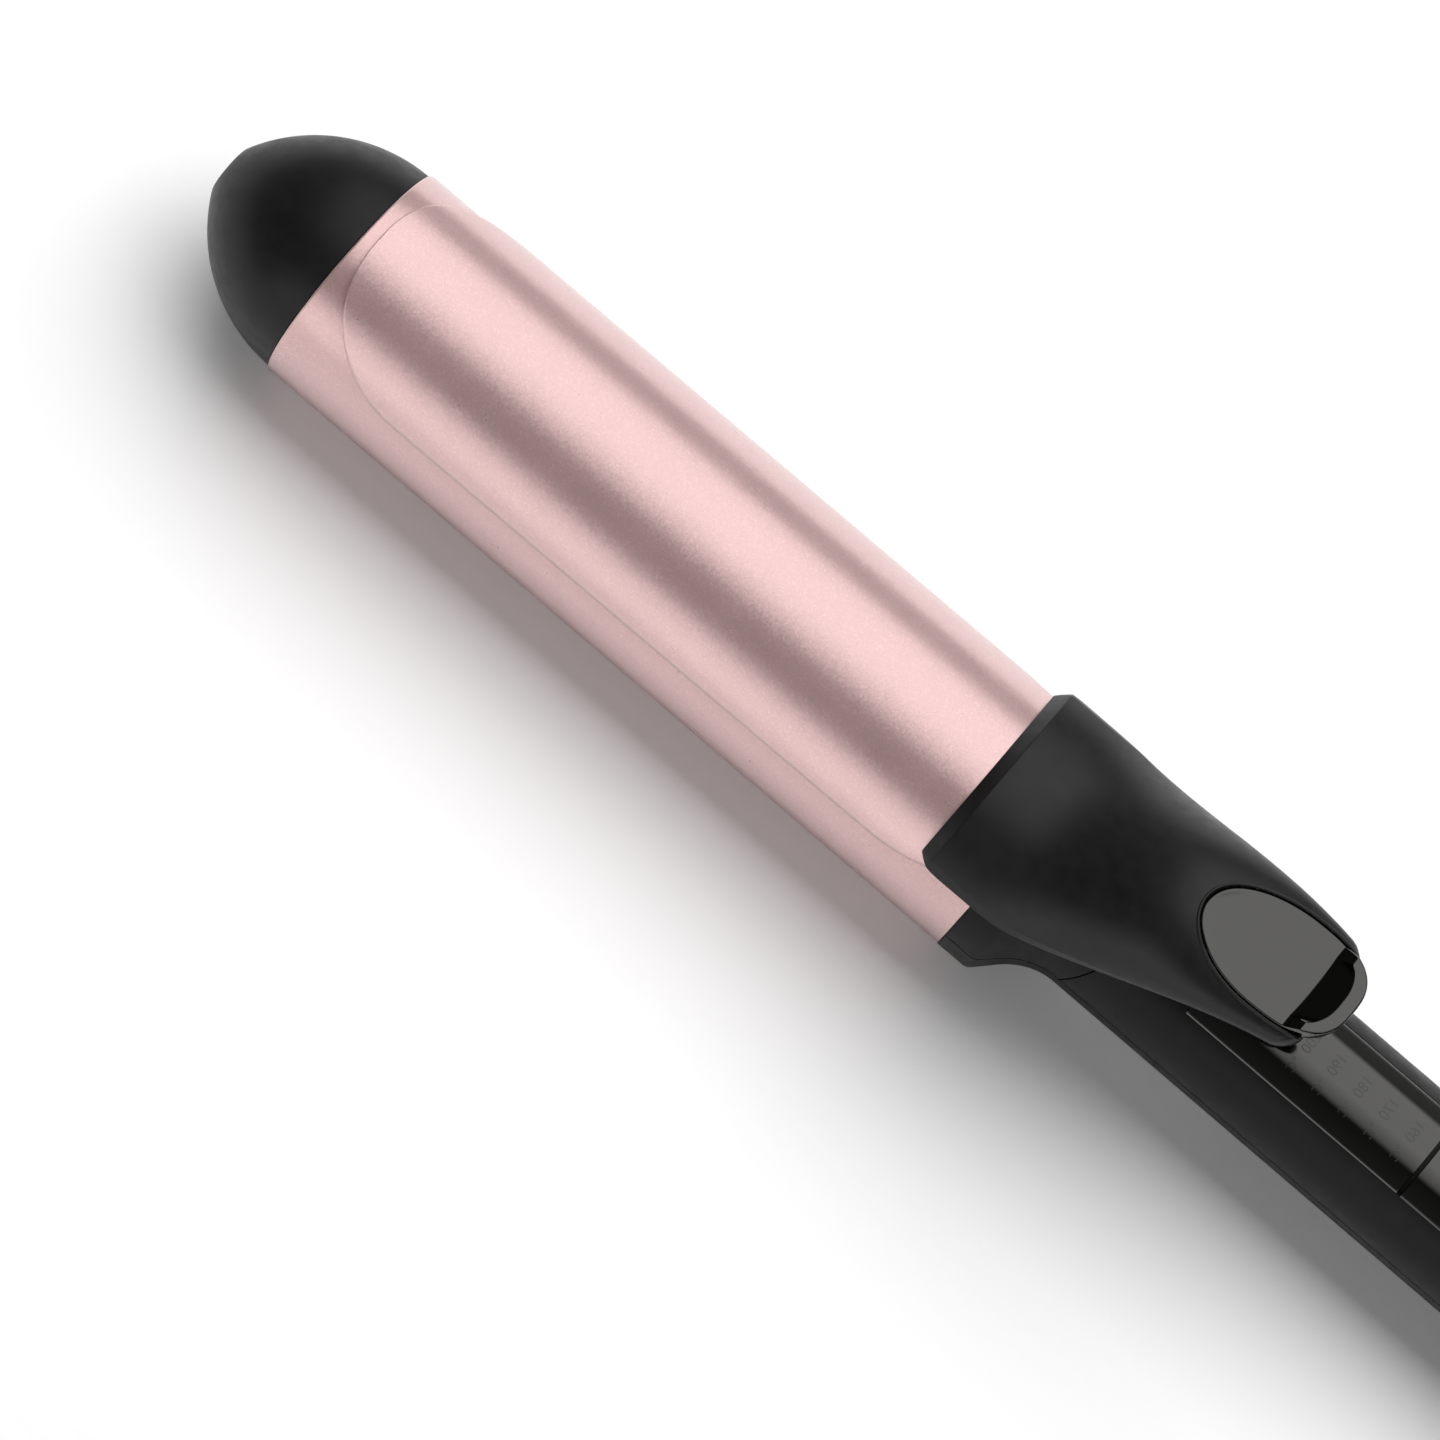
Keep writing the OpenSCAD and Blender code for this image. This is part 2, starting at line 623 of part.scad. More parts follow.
module tactile_switches() color([0.3, 0.3, 0.32])
    for (x = [plus_x, minus_x, power_x]) {
        block(x - switch_w, x + switch_w, switch_w, board_top, board_top + switch_h);
        rod_z(switch_stem_r, board_top + switch_h - 1, button_base - button_travel - 0.1, x);
    }
module temperature_leds() color([0.9, 0.9, 0.85])
    for (i = [0 : led_steps - 1]) let (x = led_x0 + i * step_pitch)
        block(x - 0.4, x + 0.4, 1, board_top, board_top + 0.7);
module control_board() color([0.1, 0.35, 0.2]) block(board_x0, board_x1, board_w, board_z, board_top);
// A block under the board at a share of its length.
module under_board(share, size) let (x = mix(board_x0, board_x1, share))
    block(x, x + size[0], size[1] / 2, board_z - size[2], board_z);
module power_parts() color([0.2, 0.2, 0.25]) {
    under_board(0.6, relay);
    under_board(0.2, driver);
    rod_z(capacitor_r, board_z - capacitor_h, board_z, mix(board_x0, board_x1, 0.4), 2);
}

// A screw that points up, with its head's underside at z.
module screw(x, z, z1) {
    rod_z(screw_r - fit_gap, z - eps, z1, x);
    rod_z(screw_head_r - fit_gap, z - screw_head_t, z, x);
}
module shell_screws() color([0.6, 0.6, 0.62])
    for (x = [front_screw_x, rear_screw_x]) screw(x, handle_rise - handle_r + screw_floor, handle_top - shell_wall - 1);
module collar_screw() color([0.6, 0.6, 0.62]) screw(collar_screw_x, collar_head_z, shank_r + 2.4);

// ---- Thumb lever, clip and hinge ----

// How far the lever's top has risen: a steep step behind the hinge, then a slow climb.
function lever_t(x) = 0.75 * ease((x - lever_rise_x0) / lever_rise_len)
    + 0.25 * pow(max(0, (x - lever_rise_x0) / (lever_x1 - lever_rise_x0)), 1.5);
function lever_u(x) = ease((x - lever_rise_x0 - 5) / lever_edge_len);
function lever_rim(x) = let (u = 1 - min(max((x - lever_x0) / rim_len, 0), 1)) rim_drop * (1 - sqrt(1 - u * u));
function lever_end(x) = let (u = min(max((x - lever_x1 + lever_end_len) / lever_end_len, 0), 1)) sqrt(1 - 0.42 * u * u);
function lever_top(x) = hood_r + lever_lift * lever_t(x);
function lever_edge(x) = mix(hood_edge_z, hood_r + lever_lift - tail_shoulder, lever_u(x));
function lever_half(x) = mix(hood_w, lever_tail_w, (x - lever_rise_x0 - 2) / (lever_x1 - lever_rise_x0 - 2)) * lever_end(x);
function lever_skin(x) = mix(lever_wall, lever_tail_wall, lever_t(x) * 1.3);
function lever_arch(x) = mix(hood_arch, tail_arch, lever_u(x));
function lever_flat(x) = mix(1, 0.55, lever_u(x));
// One arch from side to side: half width w, edge height h, top height z, half angle a.
// It is round where m is 1, and flatter on top with steeper sides where m is less.
function arch(x, w, h, z, a, m, n = 8) = [for (i = [-n : n]) let (b = a * i / n)
    [x, w * sin(b) / sin(a), h + (z - h) * pow(max(0, (cos(b) - cos(a)) / (1 - cos(a))), m)]];
function backwards(list) = [for (i = [len(list) - 1 : -1 : 0]) list[i]];
function lever_ring(x) = let (a = lever_arch(x), m = lever_flat(x), t = lever_skin(x), c = lever_rim(x))
    concat(
        arch(x, lever_half(x) - c * sin(a), lever_edge(x) - c * cos(a), lever_top(x) - c, a, m),
        backwards(arch(x, lever_half(x) - t * sin(a), lever_edge(x) - t * cos(a), lever_top(x) - t, a, m)));
lever_stations = concat([for (u = [0, 0.1, 0.4, 1]) lever_x0 + rim_len * u],
    [for (i = [1 : 16]) mix(lever_x0 + rim_len, lever_x1 - lever_end_len, i / 16)],
    [for (u = [0.35, 0.65, 0.85, 1]) lever_x1 - lever_end_len * (1 - u)]);

// Half width of the egg-shaped pad at a share p of its length, blunter behind than in front.
function egg(p) = p < pad_wide ? oval((pad_wide - p) / pad_wide, 2) : oval((p - pad_wide) / (1 - pad_wide), 2.8);
function oval(u, n) = pow(max(0, 1 - pow(u, n)), 1 / n);
function pad_lip(p) = 1.6 * ease((p - 0.74) / 0.17);
module egg_loft(grow, dish) {
    n = 14;
    m = 4;
    loft([for (i = [0 : n]) let (
            p = (1 - cos(180 * (0.04 + 0.92 * i / n))) / 2,
            x = pad_x0 + pad_len * p,
            w = pad_w * egg(p) + grow,
            low = lever_top(x) - pad_depth + pad_lip(p) * (dish ? 1 : 0.4) + (dish ? 2 * fit_gap : 0),
            high = dish ? low + 1.7 : low + 8)
        concat(
            [for (k = [m : -1 : -m]) let (y = k / m) [x, w * y, low - 0.1 * (1 - y * y)]],
            [for (k = [-m : m]) let (y = k / m) [x, w * y, high - (dish ? 0.8 : 0.1) * egg(p) * (1 - y * y)]])]);
}

// Inner height of the lever's roof above its screws.
post_roof = lever_top(lever_screw_x) - lever_tail_wall;
module lever_screw_holes() both() rod_z(lever_screw_r, 0, post_roof - 1, lever_screw_x, lever_screw_y);
module thumb_lever() color([0.12, 0.12, 0.12]) {
    difference() {
        loft([for (x = lever_stations) lever_ring(x)]);
        egg_loft(0.15, false);
        for (x = peg_x) rod_z(peg_r + fit_gap, 0, far, x);
        lever_screw_holes();
    }
    // screw posts between the roof and the bracket
    difference() {
        both() rod_z(lever_screw_r + 1.2, bracket_r + fit_gap, post_roof + 0.8, lever_screw_x, lever_screw_y);
        lever_screw_holes();
    }
}
// The pad is held by two pegs through the lever.
peg_x = [pad_x0 + 0.35 * pad_len, pad_x0 + 0.7 * pad_len];
peg_r = 1;
module thumb_pad() color([0.03, 0.03, 0.03]) {
    egg_loft(0, true);
    for (x = peg_x) rod_z(peg_r, lever_top(x) - lever_tail_wall + 0.1, lever_top(x) - pad_depth + 0.6, x);
}

function clip_in(x) = barrel_r + clip_gap + clip_slope * x;
bracket_r = clip_in(bracket_x0) - 0.02;

// The clip's outline from above: a blunt round nose, a body, a heel that rounds in under the
// hood and a narrow tongue.
function clip_outline() = concat(
    [for (i = [0 : 16]) let (u = sin(90 * i / 16))
        [clip_setback + clip_nose_len * (1 - oval(u, clip_nose_power)), clip_w * u]],
    [for (i = [0 : 8]) let (u = i / 8) [clip_body_x1 - clip_heel_len * (1 - u), clip_w - clip_heel_drop * (1 - oval(u, 2))]],
    [[clip_body_x1, tongue_w], [tongue_x1, tongue_w]]);
module clip_plate() color([0.86, 0.66, 0.63]) difference() {
    intersection() {
        rotate([0, 90, 0]) difference() {
            cylinder(r1 = clip_in(0) + clip_t, r2 = clip_in(tongue_x1) + clip_t, h = tongue_x1);
            cylinder(r1 = clip_in(0), r2 = clip_in(tongue_x1), h = tongue_x1);
        }
        linear_extrude(height = far) polygon(concat(clip_outline(),
            backwards([for (p = clip_outline()) if (p[1] > 0) [p[0], -p[1]]])));
    }
    both() rod_z(rivet_r + fit_gap, 0, far, rivet_x, rivet_y);
}

module lever_bracket() color([0.7, 0.7, 0.72]) difference() {
    union() {
        intersection() {
            ring_x(bracket_r, bracket_r - bracket_t, bracket_x0, bracket_x1);
            block(bracket_x0, bracket_x1, cheek_out, 0, far);
        }
        both() {
            slab(pivot_x - cheek_r, pivot_x + cheek_r, cheek_in, cheek_out, pivot_z,
                sqrt(pow(bracket_r, 2) - pow(cheek_out, 2)) - 0.3);
            rod_y(cheek_r, cheek_in, cheek_out, pivot_x, pivot_z);
        }
    }
    rod_y(pin_r + fit_gap / 2, -far, far, pivot_x, pivot_z);
    both() {
        rod_z(rivet_r + fit_gap, 0, far, rivet_x, rivet_y);
        rod_z(lever_screw_r + 0.2, 0, far, lever_screw_x, lever_screw_y);
    }
}

rivet_top = sqrt(pow(clip_in(tongue_x1) + clip_t, 2) - pow(rivet_y - rivet_head_r, 2)) + 0.02;
rivet_low = sqrt(pow(bracket_r - bracket_t, 2) - pow(rivet_y + rivet_head_r, 2)) - 0.02;
module clip_rivets() color([0.75, 0.75, 0.76]) both() {
    rod_z(rivet_r, rivet_low - eps, rivet_top + eps, rivet_x, rivet_y);
    rod_z(rivet_head_r, rivet_top, rivet_top + 0.5, rivet_x, rivet_y);
    rod_z(rivet_head_r, rivet_low - 0.6, rivet_low, rivet_x, rivet_y);
}
lever_screw_z = sqrt(pow(bracket_r - bracket_t, 2) - pow(lever_screw_y + 1.9, 2)) - 0.02;
module lever_screws() color([0.6, 0.6, 0.62]) both() {
    rod_z(lever_screw_r - fit_gap, lever_screw_z - eps, post_roof - 1.5, lever_screw_x, lever_screw_y);
    rod_z(1.9, lever_screw_z - 1, lever_screw_z, lever_screw_x, lever_screw_y);
}

module lever_pin() color([0.72, 0.72, 0.74]) {
    rod_y(pin_r, -cheek_out - 0.5, cheek_out + 0.9, pivot_x, pivot_z);
    rod_y(pin_r + 0.8, -cheek_out - 0.9, -cheek_out - fit_gap, pivot_x, pivot_z);
    rod_y(pin_r + 0.8, cheek_out + fit_gap, cheek_out + 0.6, pivot_x, pivot_z);
}

// Coils around the pin, one leg under the bracket and one in the collar's pocket.
module lever_spring() color([0.65, 0.65, 0.68]) {
    for (i = [0 : spring_coils - 1])
        translate([pivot_x, (i + 0.5) * spring_wire - spring_w, pivot_z]) rotate([90, 0, 0])
            rotate_extrude() translate([coil_r, 0]) circle(r = spring_wire / 2 + eps, $fn = 24);
    leg_y = spring_w - spring_wire / 2;
    rod_x(spring_wire / 2, pivot_x, pivot_x + 7.6, leg_y, pivot_z + coil_r);
    rod_x(spring_wire / 2, pivot_x, pivot_x + 4.1, -leg_y, pivot_z - coil_r);
}

// ---- Folding stand ----

module stand() color([0.68, 0.68, 0.7]) difference() {
    union() {
        rod_y(stand_lobe_r, -stand_knuckle_w, stand_knuckle_w, stand_x, stand_z);
        block(stand_x, stand_x + 4, stand_knuckle_w, stand_z - stand_t / 2, stand_z + stand_t / 2);
        block(stand_x + stand_lobe_r + 1, stand_x + stand_len - stand_w, stand_w, stand_z - stand_t / 2, stand_z + stand_t / 2);
        rod_z(stand_w, stand_z - stand_t / 2, stand_z + stand_t / 2, stand_x + stand_len - stand_w);
    }
    rod_y(stand_pin_r + pin_play, -far, far, stand_x, stand_z);
    // finger opening
    rod_z(stand_w - 2.2, -far, far, stand_x + stand_len - stand_w);
    block(stand_x + 10, stand_x + stand_len - stand_w, stand_w - 2.2, -far, far);
}
module stand_pin() color([0.72, 0.72, 0.74]) rod_y(stand_pin_r, -stand_ear_w - 0.2, stand_ear_w + 0.2, stand_x, stand_z);

// ---- Swivel ----

module swivel_gland() color([0.11, 0.11, 0.11]) difference() {
    union() {
        rod_x(shaft_r, shaft_x0, shaft_x1, 0, handle_rise);
        rod_x(swivel_flange_r, shaft_x1 - eps, swivel_wall_x - fit_gap, 0, handle_rise);
        turned([[swivel_wall_x - 1, 0], [swivel_wall_x - 1, swivel_r], [tail_end + 0.6, swivel_r],
            [tail_end + 1.4, swivel_r + 0.7], [tail_end + 2.6, swivel_r + 0.9], [tail_end + 4.2, swivel_r + 0.4],
            [swivel_end - 1, cord_bore_r + 2.2], [swivel_end, cord_bore_r + 1.4], [swivel_end, 0]], handle_rise);
    }
    rod_x(cord_bore_r, shaft_x0 - 1, swivel_end + 1, 0, handle_rise);
}
module slip_rings() color([0.82, 0.66, 0.32])
    for (x = slip_ring_x) ring_x(slip_ring_r, shaft_r + fit_gap / 2, x, x + slip_ring_w, handle_rise);
module swivel_retainer() color([0.25, 0.25, 0.26]) difference() {
    rod_x(handle_in - fit_gap, retainer_x, retainer_x + retainer_t, 0, handle_rise);
    rod_x(shaft_r + slide_gap, retainer_x - 1, retainer_x + retainer_t + 1, 0, handle_rise);
}
// Spring strips from the retainer that bear on the slip rings, one on each side.
contact_y = slip_ring_r + 0.3;
module slip_contacts() color([0.82, 0.66, 0.32]) {
    slab(slip_ring_x[0], retainer_x - fit_gap, contact_y, contact_y + 0.5, handle_rise - 1.5, handle_rise + 1.5);
    slab(slip_ring_x[1], retainer_x - fit_gap, -contact_y - 0.5, -contact_y, handle_rise - 1.5, handle_rise + 1.5);
}
supply_y = 5.6;
module supply_leads() color([0.5, 0.35, 0.25]) both()
    wire([[board_x1 - 4, supply_y, board_z - lead_r - fit_gap], [board_x1 + 2, supply_y, board_z - lead_r - fit_gap],
        [slip_ring_x[0] - rear_share, contact_y + 0.5 + lead_r + fit_gap, handle_rise],
        [slip_ring_x[1] + 2 * rear_share, contact_y + 0.5 + lead_r + fit_gap, handle_rise]], lead_r);

place() cool_tip();
place() barrel_tube();
place() heat_spreader_upper();
place() heat_spreader_lower();
place() heater_plates();
place() electrode_strips();
place() insulating_films();
place() pressure_springs();
place() thermistor();
place() thermal_fuse();
place() heater_leads();
place() barrel_mount();
place() front_collar();
place() lower_shell();
place() upper_shell();
place() display_window();
place() keypad_panel();
place() power_button();
place() plus_button();
place() minus_button();
place() tactile_switches();
place() temperature_leds();
place() control_board();
place() power_parts();
place() shell_screws();
place() collar_screw();
place() thumb_lever();
place() thumb_pad();
place() lever_bracket();
place() clip_plate();
place() clip_rivets();
place() lever_screws();
place() lever_pin();
place() lever_spring();
place() stand();
place() stand_pin();
place() swivel_gland();
place() slip_rings();
place() slip_contacts();
place() swivel_retainer();
place() supply_leads();
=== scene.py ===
# Curling iron: detailed pieces, materials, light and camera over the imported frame.
import math
import bpy
import bmesh
import numpy as np
from mathutils import Matrix, Vector


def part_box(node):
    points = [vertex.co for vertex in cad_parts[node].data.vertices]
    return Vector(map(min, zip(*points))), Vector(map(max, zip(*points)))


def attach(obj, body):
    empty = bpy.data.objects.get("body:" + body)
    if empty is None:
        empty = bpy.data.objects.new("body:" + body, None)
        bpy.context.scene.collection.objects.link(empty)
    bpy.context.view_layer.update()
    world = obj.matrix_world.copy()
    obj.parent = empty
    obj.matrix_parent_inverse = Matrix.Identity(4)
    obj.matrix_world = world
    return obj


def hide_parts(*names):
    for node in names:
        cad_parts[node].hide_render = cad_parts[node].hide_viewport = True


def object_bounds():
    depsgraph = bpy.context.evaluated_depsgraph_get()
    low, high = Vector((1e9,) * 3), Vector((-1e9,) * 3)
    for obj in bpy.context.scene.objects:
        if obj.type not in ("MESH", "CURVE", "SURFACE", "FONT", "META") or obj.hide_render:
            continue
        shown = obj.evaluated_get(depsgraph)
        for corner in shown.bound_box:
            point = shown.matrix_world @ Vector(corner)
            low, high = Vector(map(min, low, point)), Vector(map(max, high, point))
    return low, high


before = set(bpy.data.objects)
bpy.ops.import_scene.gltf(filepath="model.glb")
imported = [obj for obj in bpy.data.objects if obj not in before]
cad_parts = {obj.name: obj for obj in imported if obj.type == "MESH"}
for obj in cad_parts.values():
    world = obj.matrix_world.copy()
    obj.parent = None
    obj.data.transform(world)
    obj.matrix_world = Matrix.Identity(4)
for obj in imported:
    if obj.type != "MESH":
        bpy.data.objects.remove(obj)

cad_box = [list(v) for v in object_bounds()]
rad = math.radians


def sin(degrees):
    return math.sin(rad(degrees))


def cos(degrees):
    return math.cos(rad(degrees))


# ---- places
# Everything is worked out in millimetres from the front end of the barrel's
# axis, and angles are in degrees. The frame's own boxes give the main sizes.
def mm_box(node):
    return [[1000 * c for c in corner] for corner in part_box(node)]


low, high = mm_box("barrel_tube")
X0, Z0 = low[0], (low[2] + high[2]) / 2
BARREL_R, BARREL_LEN = (high[1] - low[1]) / 2, high[0] - low[0]
low, high = mm_box("cool_tip")
TIP_LEN, TIP_R = X0 - low[0], (high[1] - low[1]) / 2
low, high = mm_box("upper_shell")
HANDLE_R = (high[1] - low[1]) / 2
HANDLE_Z = high[2] - Z0 - HANDLE_R
TAIL_END = high[0] - X0
low, high = mm_box("display_window")
WINDOW_X = (low[0] - X0, high[0] - X0)
PANEL_W = (high[1] - low[1]) / 2
low, high = mm_box("keypad_panel")
KEYPAD_X = (low[0] - X0, high[0] - X0)
low, high = mm_box("thumb_lever")
LEVER_X0, LEVER_X1 = low[0] - X0, high[0] - X0
SWIVEL_END = mm_box("swivel_gland")[1][0] - X0
KEY_FLANGE = 0.8  # how far each key's hidden flange reaches past its cap
BUTTONS = {n: (sum(c[0] for c in mm_box(n)) / 2 - X0, (mm_box(n)[1][1] - mm_box(n)[0][1]) / 2 - KEY_FLANGE)
           for n in ("plus_button", "minus_button", "power_button")}
low, high = mm_box("stand_pin")
STAND_X, STAND_Z = (low[0] + high[0]) / 2 - X0, (low[2] + high[2]) / 2 - Z0
low, high = mm_box("lever_pin")
PIVOT_X, PIVOT_Z = (low[0] + high[0]) / 2 - X0, (low[2] + high[2]) / 2 - Z0
PANEL_ANGLE = math.degrees(math.asin(PANEL_W / HANDLE_R))
HANDLE_X = 148.5  # where the neck has come down to the handle's radius
SHELL_WALL = 2.0
PANEL_T = 1.2


def at(p):
    return ((p[0] + X0) / 1000, p[1] / 1000, (p[2] + Z0) / 1000)


# ---- mesh tools
def ease(t):
    t = min(max(t, 0.0), 1.0)
    return t * t * (3 - 2 * t)


def mix(a, b, t):
    return a + (b - a) * min(max(t, 0.0), 1.0)


def span(a, b, n):
    return [a + (b - a) * i / n for i in range(n + 1)]


def grid(rows, ring=False, loop=False, caps=False):
    """Quads over rows of points; ring closes each row, loop joins the last row to the first."""
    n = len(rows[0])
    verts = [p for row in rows for p in row]
    faces = []
    for k in range(len(rows) if loop else len(rows) - 1):
        for i in range(n if ring else n - 1):
            j, m = (i + 1) % n, (k + 1) % len(rows)
            faces.append((k * n + i, k * n + j, m * n + j, m * n + i))
    if caps:
        faces.append(tuple(range(n)))
        faces.append(tuple(len(verts) - n + i for i in range(n)))
    return verts, faces


def loft(rows):
    """A solid through closed rings of points, with flat ends."""
    return grid(rows, ring=True, caps=True)


def turned(profile, n=192, z=0.0, axis="x", at_x=0.0):
    """A closed profile of (along, radius) points turned about a line along X, Y or Z."""
    rows = []
    for k in range(n):
        c, s = math.cos(2 * math.pi * k / n), math.sin(2 * math.pi * k / n)
        if axis == "x":
            rows.append([(a, r * s, z + r * c) for a, r in profile])
        elif axis == "y":
            rows.append([(at_x + r * s, a, z + r * c) for a, r in profile])
        else:
            rows.append([(at_x + r * s, r * c, a) for a, r in profile])
    return grid(rows, ring=True, loop=True)


def arc(cx, cr, radius, a0, a1, n=6):
    """Points of a fillet in a profile: centre, radius and angles from +along towards +radius."""
    return [(cx + radius * cos(a), cr + radius * sin(a)) for a in span(a0, a1, n)]


def tube(points, radius, n=12):
    """A round wire along a list of points, with its two ends closed."""
    pts = [Vector(p) for p in points]
    side, rows = None, []
    for k, p in enumerate(pts):
        d = (pts[min(k + 1, len(pts) - 1)] - pts[max(k - 1, 0)]).normalized()
        if side is None:
            side = d.orthogonal().normalized()
        side = (side - d * side.dot(d)).normalized()
        up = d.cross(side)
        rows.append([tuple(p + radius * (side * math.cos(t) + up * math.sin(t)))
                     for t in (2 * math.pi * i / n for i in range(n))])
    return loft(rows)


def join(*parts):
    """Several shapes as one, without welding them."""
    verts, faces = [], []
    for v, f in parts:
        base = len(verts)
        verts += v
        faces += [tuple(i + base for i in face) for face in f]
    return verts, faces


def evaluated(ob):
    """The object's mesh with its modifiers applied."""
    bpy.context.view_layer.update()
    new = bpy.data.meshes.new_from_object(ob.evaluated_get(bpy.context.evaluated_depsgraph_get()))
    ob.modifiers.clear()
    ob.data = new


WELD, SLIVER = 1.5e-7, 1e-8  # metres
BEVEL_FROM = 38  # edges that turn by more than this are bevelled


def solid(name, shape):
    """An object from verts and faces in the part's millimetres, with its doubles welded."""
    mesh = bpy.data.meshes.new(name)
    mesh.from_pydata([at(p) for p in shape[0]], [], shape[1])
    bm = bmesh.new()
    bm.from_mesh(mesh)
    bmesh.ops.remove_doubles(bm, verts=bm.verts, dist=WELD)
    bmesh.ops.dissolve_degenerate(bm, edges=bm.edges, dist=SLIVER)
    bmesh.ops.recalc_face_normals(bm, faces=bm.faces)
    bm.to_mesh(mesh)
    bm.free()
    ob = bpy.data.objects.new(name, mesh)
    bpy.context.scene.collection.objects.link(ob)
    return ob


def piece(name, shape, body, slot, material, nodes=(), angle=32, cuts=(), bevel=0.0, steps=2):
    """A finished piece that rides a body: cut, bevelled, smooth up to an angle, and with its material."""
    ob = solid(name, shape)
    for k, cut in enumerate(cuts):
        tool = solid(f"{name}_cut{k}", cut)
        mod = ob.modifiers.new("cut", "BOOLEAN")
        mod.object, mod.operation, mod.solver = tool, "DIFFERENCE", "EXACT"
        evaluated(ob)
        bpy.data.objects.remove(tool)
    if bevel:
        mod = ob.modifiers.new("bevel", "BEVEL")
        mod.width, mod.segments = bevel / 1000, steps
        mod.limit_method, mod.angle_limit = "ANGLE", rad(BEVEL_FROM)
        mod.use_clamp_overlap = True
        evaluated(ob)
    mesh = ob.data
    mesh.polygons.foreach_set("use_smooth", [True] * len(mesh.polygons))
    mesh.set_sharp_from_angle(angle=rad(angle))
    mesh.materials.clear()
    mesh.materials.append(material)
    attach(ob, body)
    if nodes:
        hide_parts(*nodes)
    return ob


# ---- materials
class Mat:
    """A node material with a few shorthands for procedural detail."""

    def __init__(self, name, color, rough, metallic=0.0, **sockets):
        self.mat = bpy.data.materials.new(name)
        self.mat.use_nodes = True
        self.tree = self.mat.node_tree
        self.bsdf = self.tree.nodes["Principled BSDF"]
        self.bsdf.inputs["Base Color"].default_value = (*color, 1)
        self.bsdf.inputs["Roughness"].default_value = rough
        self.bsdf.inputs["Metallic"].default_value = metallic
        for key, value in sockets.items():
            self.bsdf.inputs[key.replace("_", " ")].default_value = value
        self.coord = self.node("ShaderNodeTexCoord").outputs["Object"]

    def node(self, kind, **inputs):
        node = self.tree.nodes.new(kind)
        for key, value in inputs.items():
            numbered = key[0] == "i" and key[1:].isdigit()
            socket = node.inputs[int(key[1:])] if numbered else node.inputs[key.replace("_", " ")]
            if isinstance(value, bpy.types.NodeSocket):
                self.tree.links.new(value, socket)
            else:
                socket.default_value = value
        return node

    def link(self, output, name):
        self.tree.links.new(output, self.bsdf.inputs[name])

    def stretched(self, scale):
        mapping = self.node("ShaderNodeMapping", Vector=self.coord)
        mapping.inputs["Scale"].default_value = scale
        return mapping.outputs["Vector"]

    def noise(self, scale, detail=3.0, vector=None, rough=0.55):
        node = self.node("ShaderNodeTexNoise", Vector=vector or self.coord, Scale=scale, Detail=detail, Roughness=rough)
        return node.outputs["Fac"]

    def calc(self, operation, a, b):
        node = self.node("ShaderNodeMath", i0=a, i1=b)
        node.operation = operation
        return node.outputs[0]

    def remap(self, value, low, high, start=0.3, end=0.7, smooth=False):
        node = self.node("ShaderNodeMapRange", Value=value)
        if smooth:
            node.interpolation_type = "SMOOTHSTEP"
        for key, v in (("From Min", start), ("From Max", end), ("To Min", low), ("To Max", high)):
            node.inputs[key].default_value = v
        return node.outputs["Result"]

    def ramp(self, value, *stops):
        node = self.node("ShaderNodeValToRGB", Fac=value)
        elements = node.color_ramp.elements
        while len(elements) < len(stops):
            elements.new(0.5)
        for element, (pos, color) in zip(elements, stops):
            element.position = pos
            element.color = (*color, 1) if len(color) == 3 else color
        return node.outputs["Color"]

    def bump(self, height, strength, depth_mm):
        return self.node("ShaderNodeBump", Height=height, Strength=strength, Distance=depth_mm / 1000).outputs["Normal"]


def shade(color, k):
    return tuple(c * k for c in color)


def plastic(name, color, rough, grain=0.25, grain_scale=2600, blotch=0.1, spread=0.06, **sockets):
    """Moulded plastic: fine spark grain, uneven gloss and a faint drift of the colour."""
    m = Mat(name, color, rough, **sockets)
    m.link(m.ramp(m.noise(55, 4), (0.3, shade(color, 1 - blotch)), (0.7, shade(color, 1 + blotch))), "Base Color")
    m.link(m.remap(m.noise(420, 3), rough - spread, rough + spread), "Roughness")
    m.link(m.bump(m.noise(grain_scale, 2), grain, 0.03), "Normal")
    return m.mat


FLAKES_PER_M, FLAKE_TILT = 4600.0, 0.06


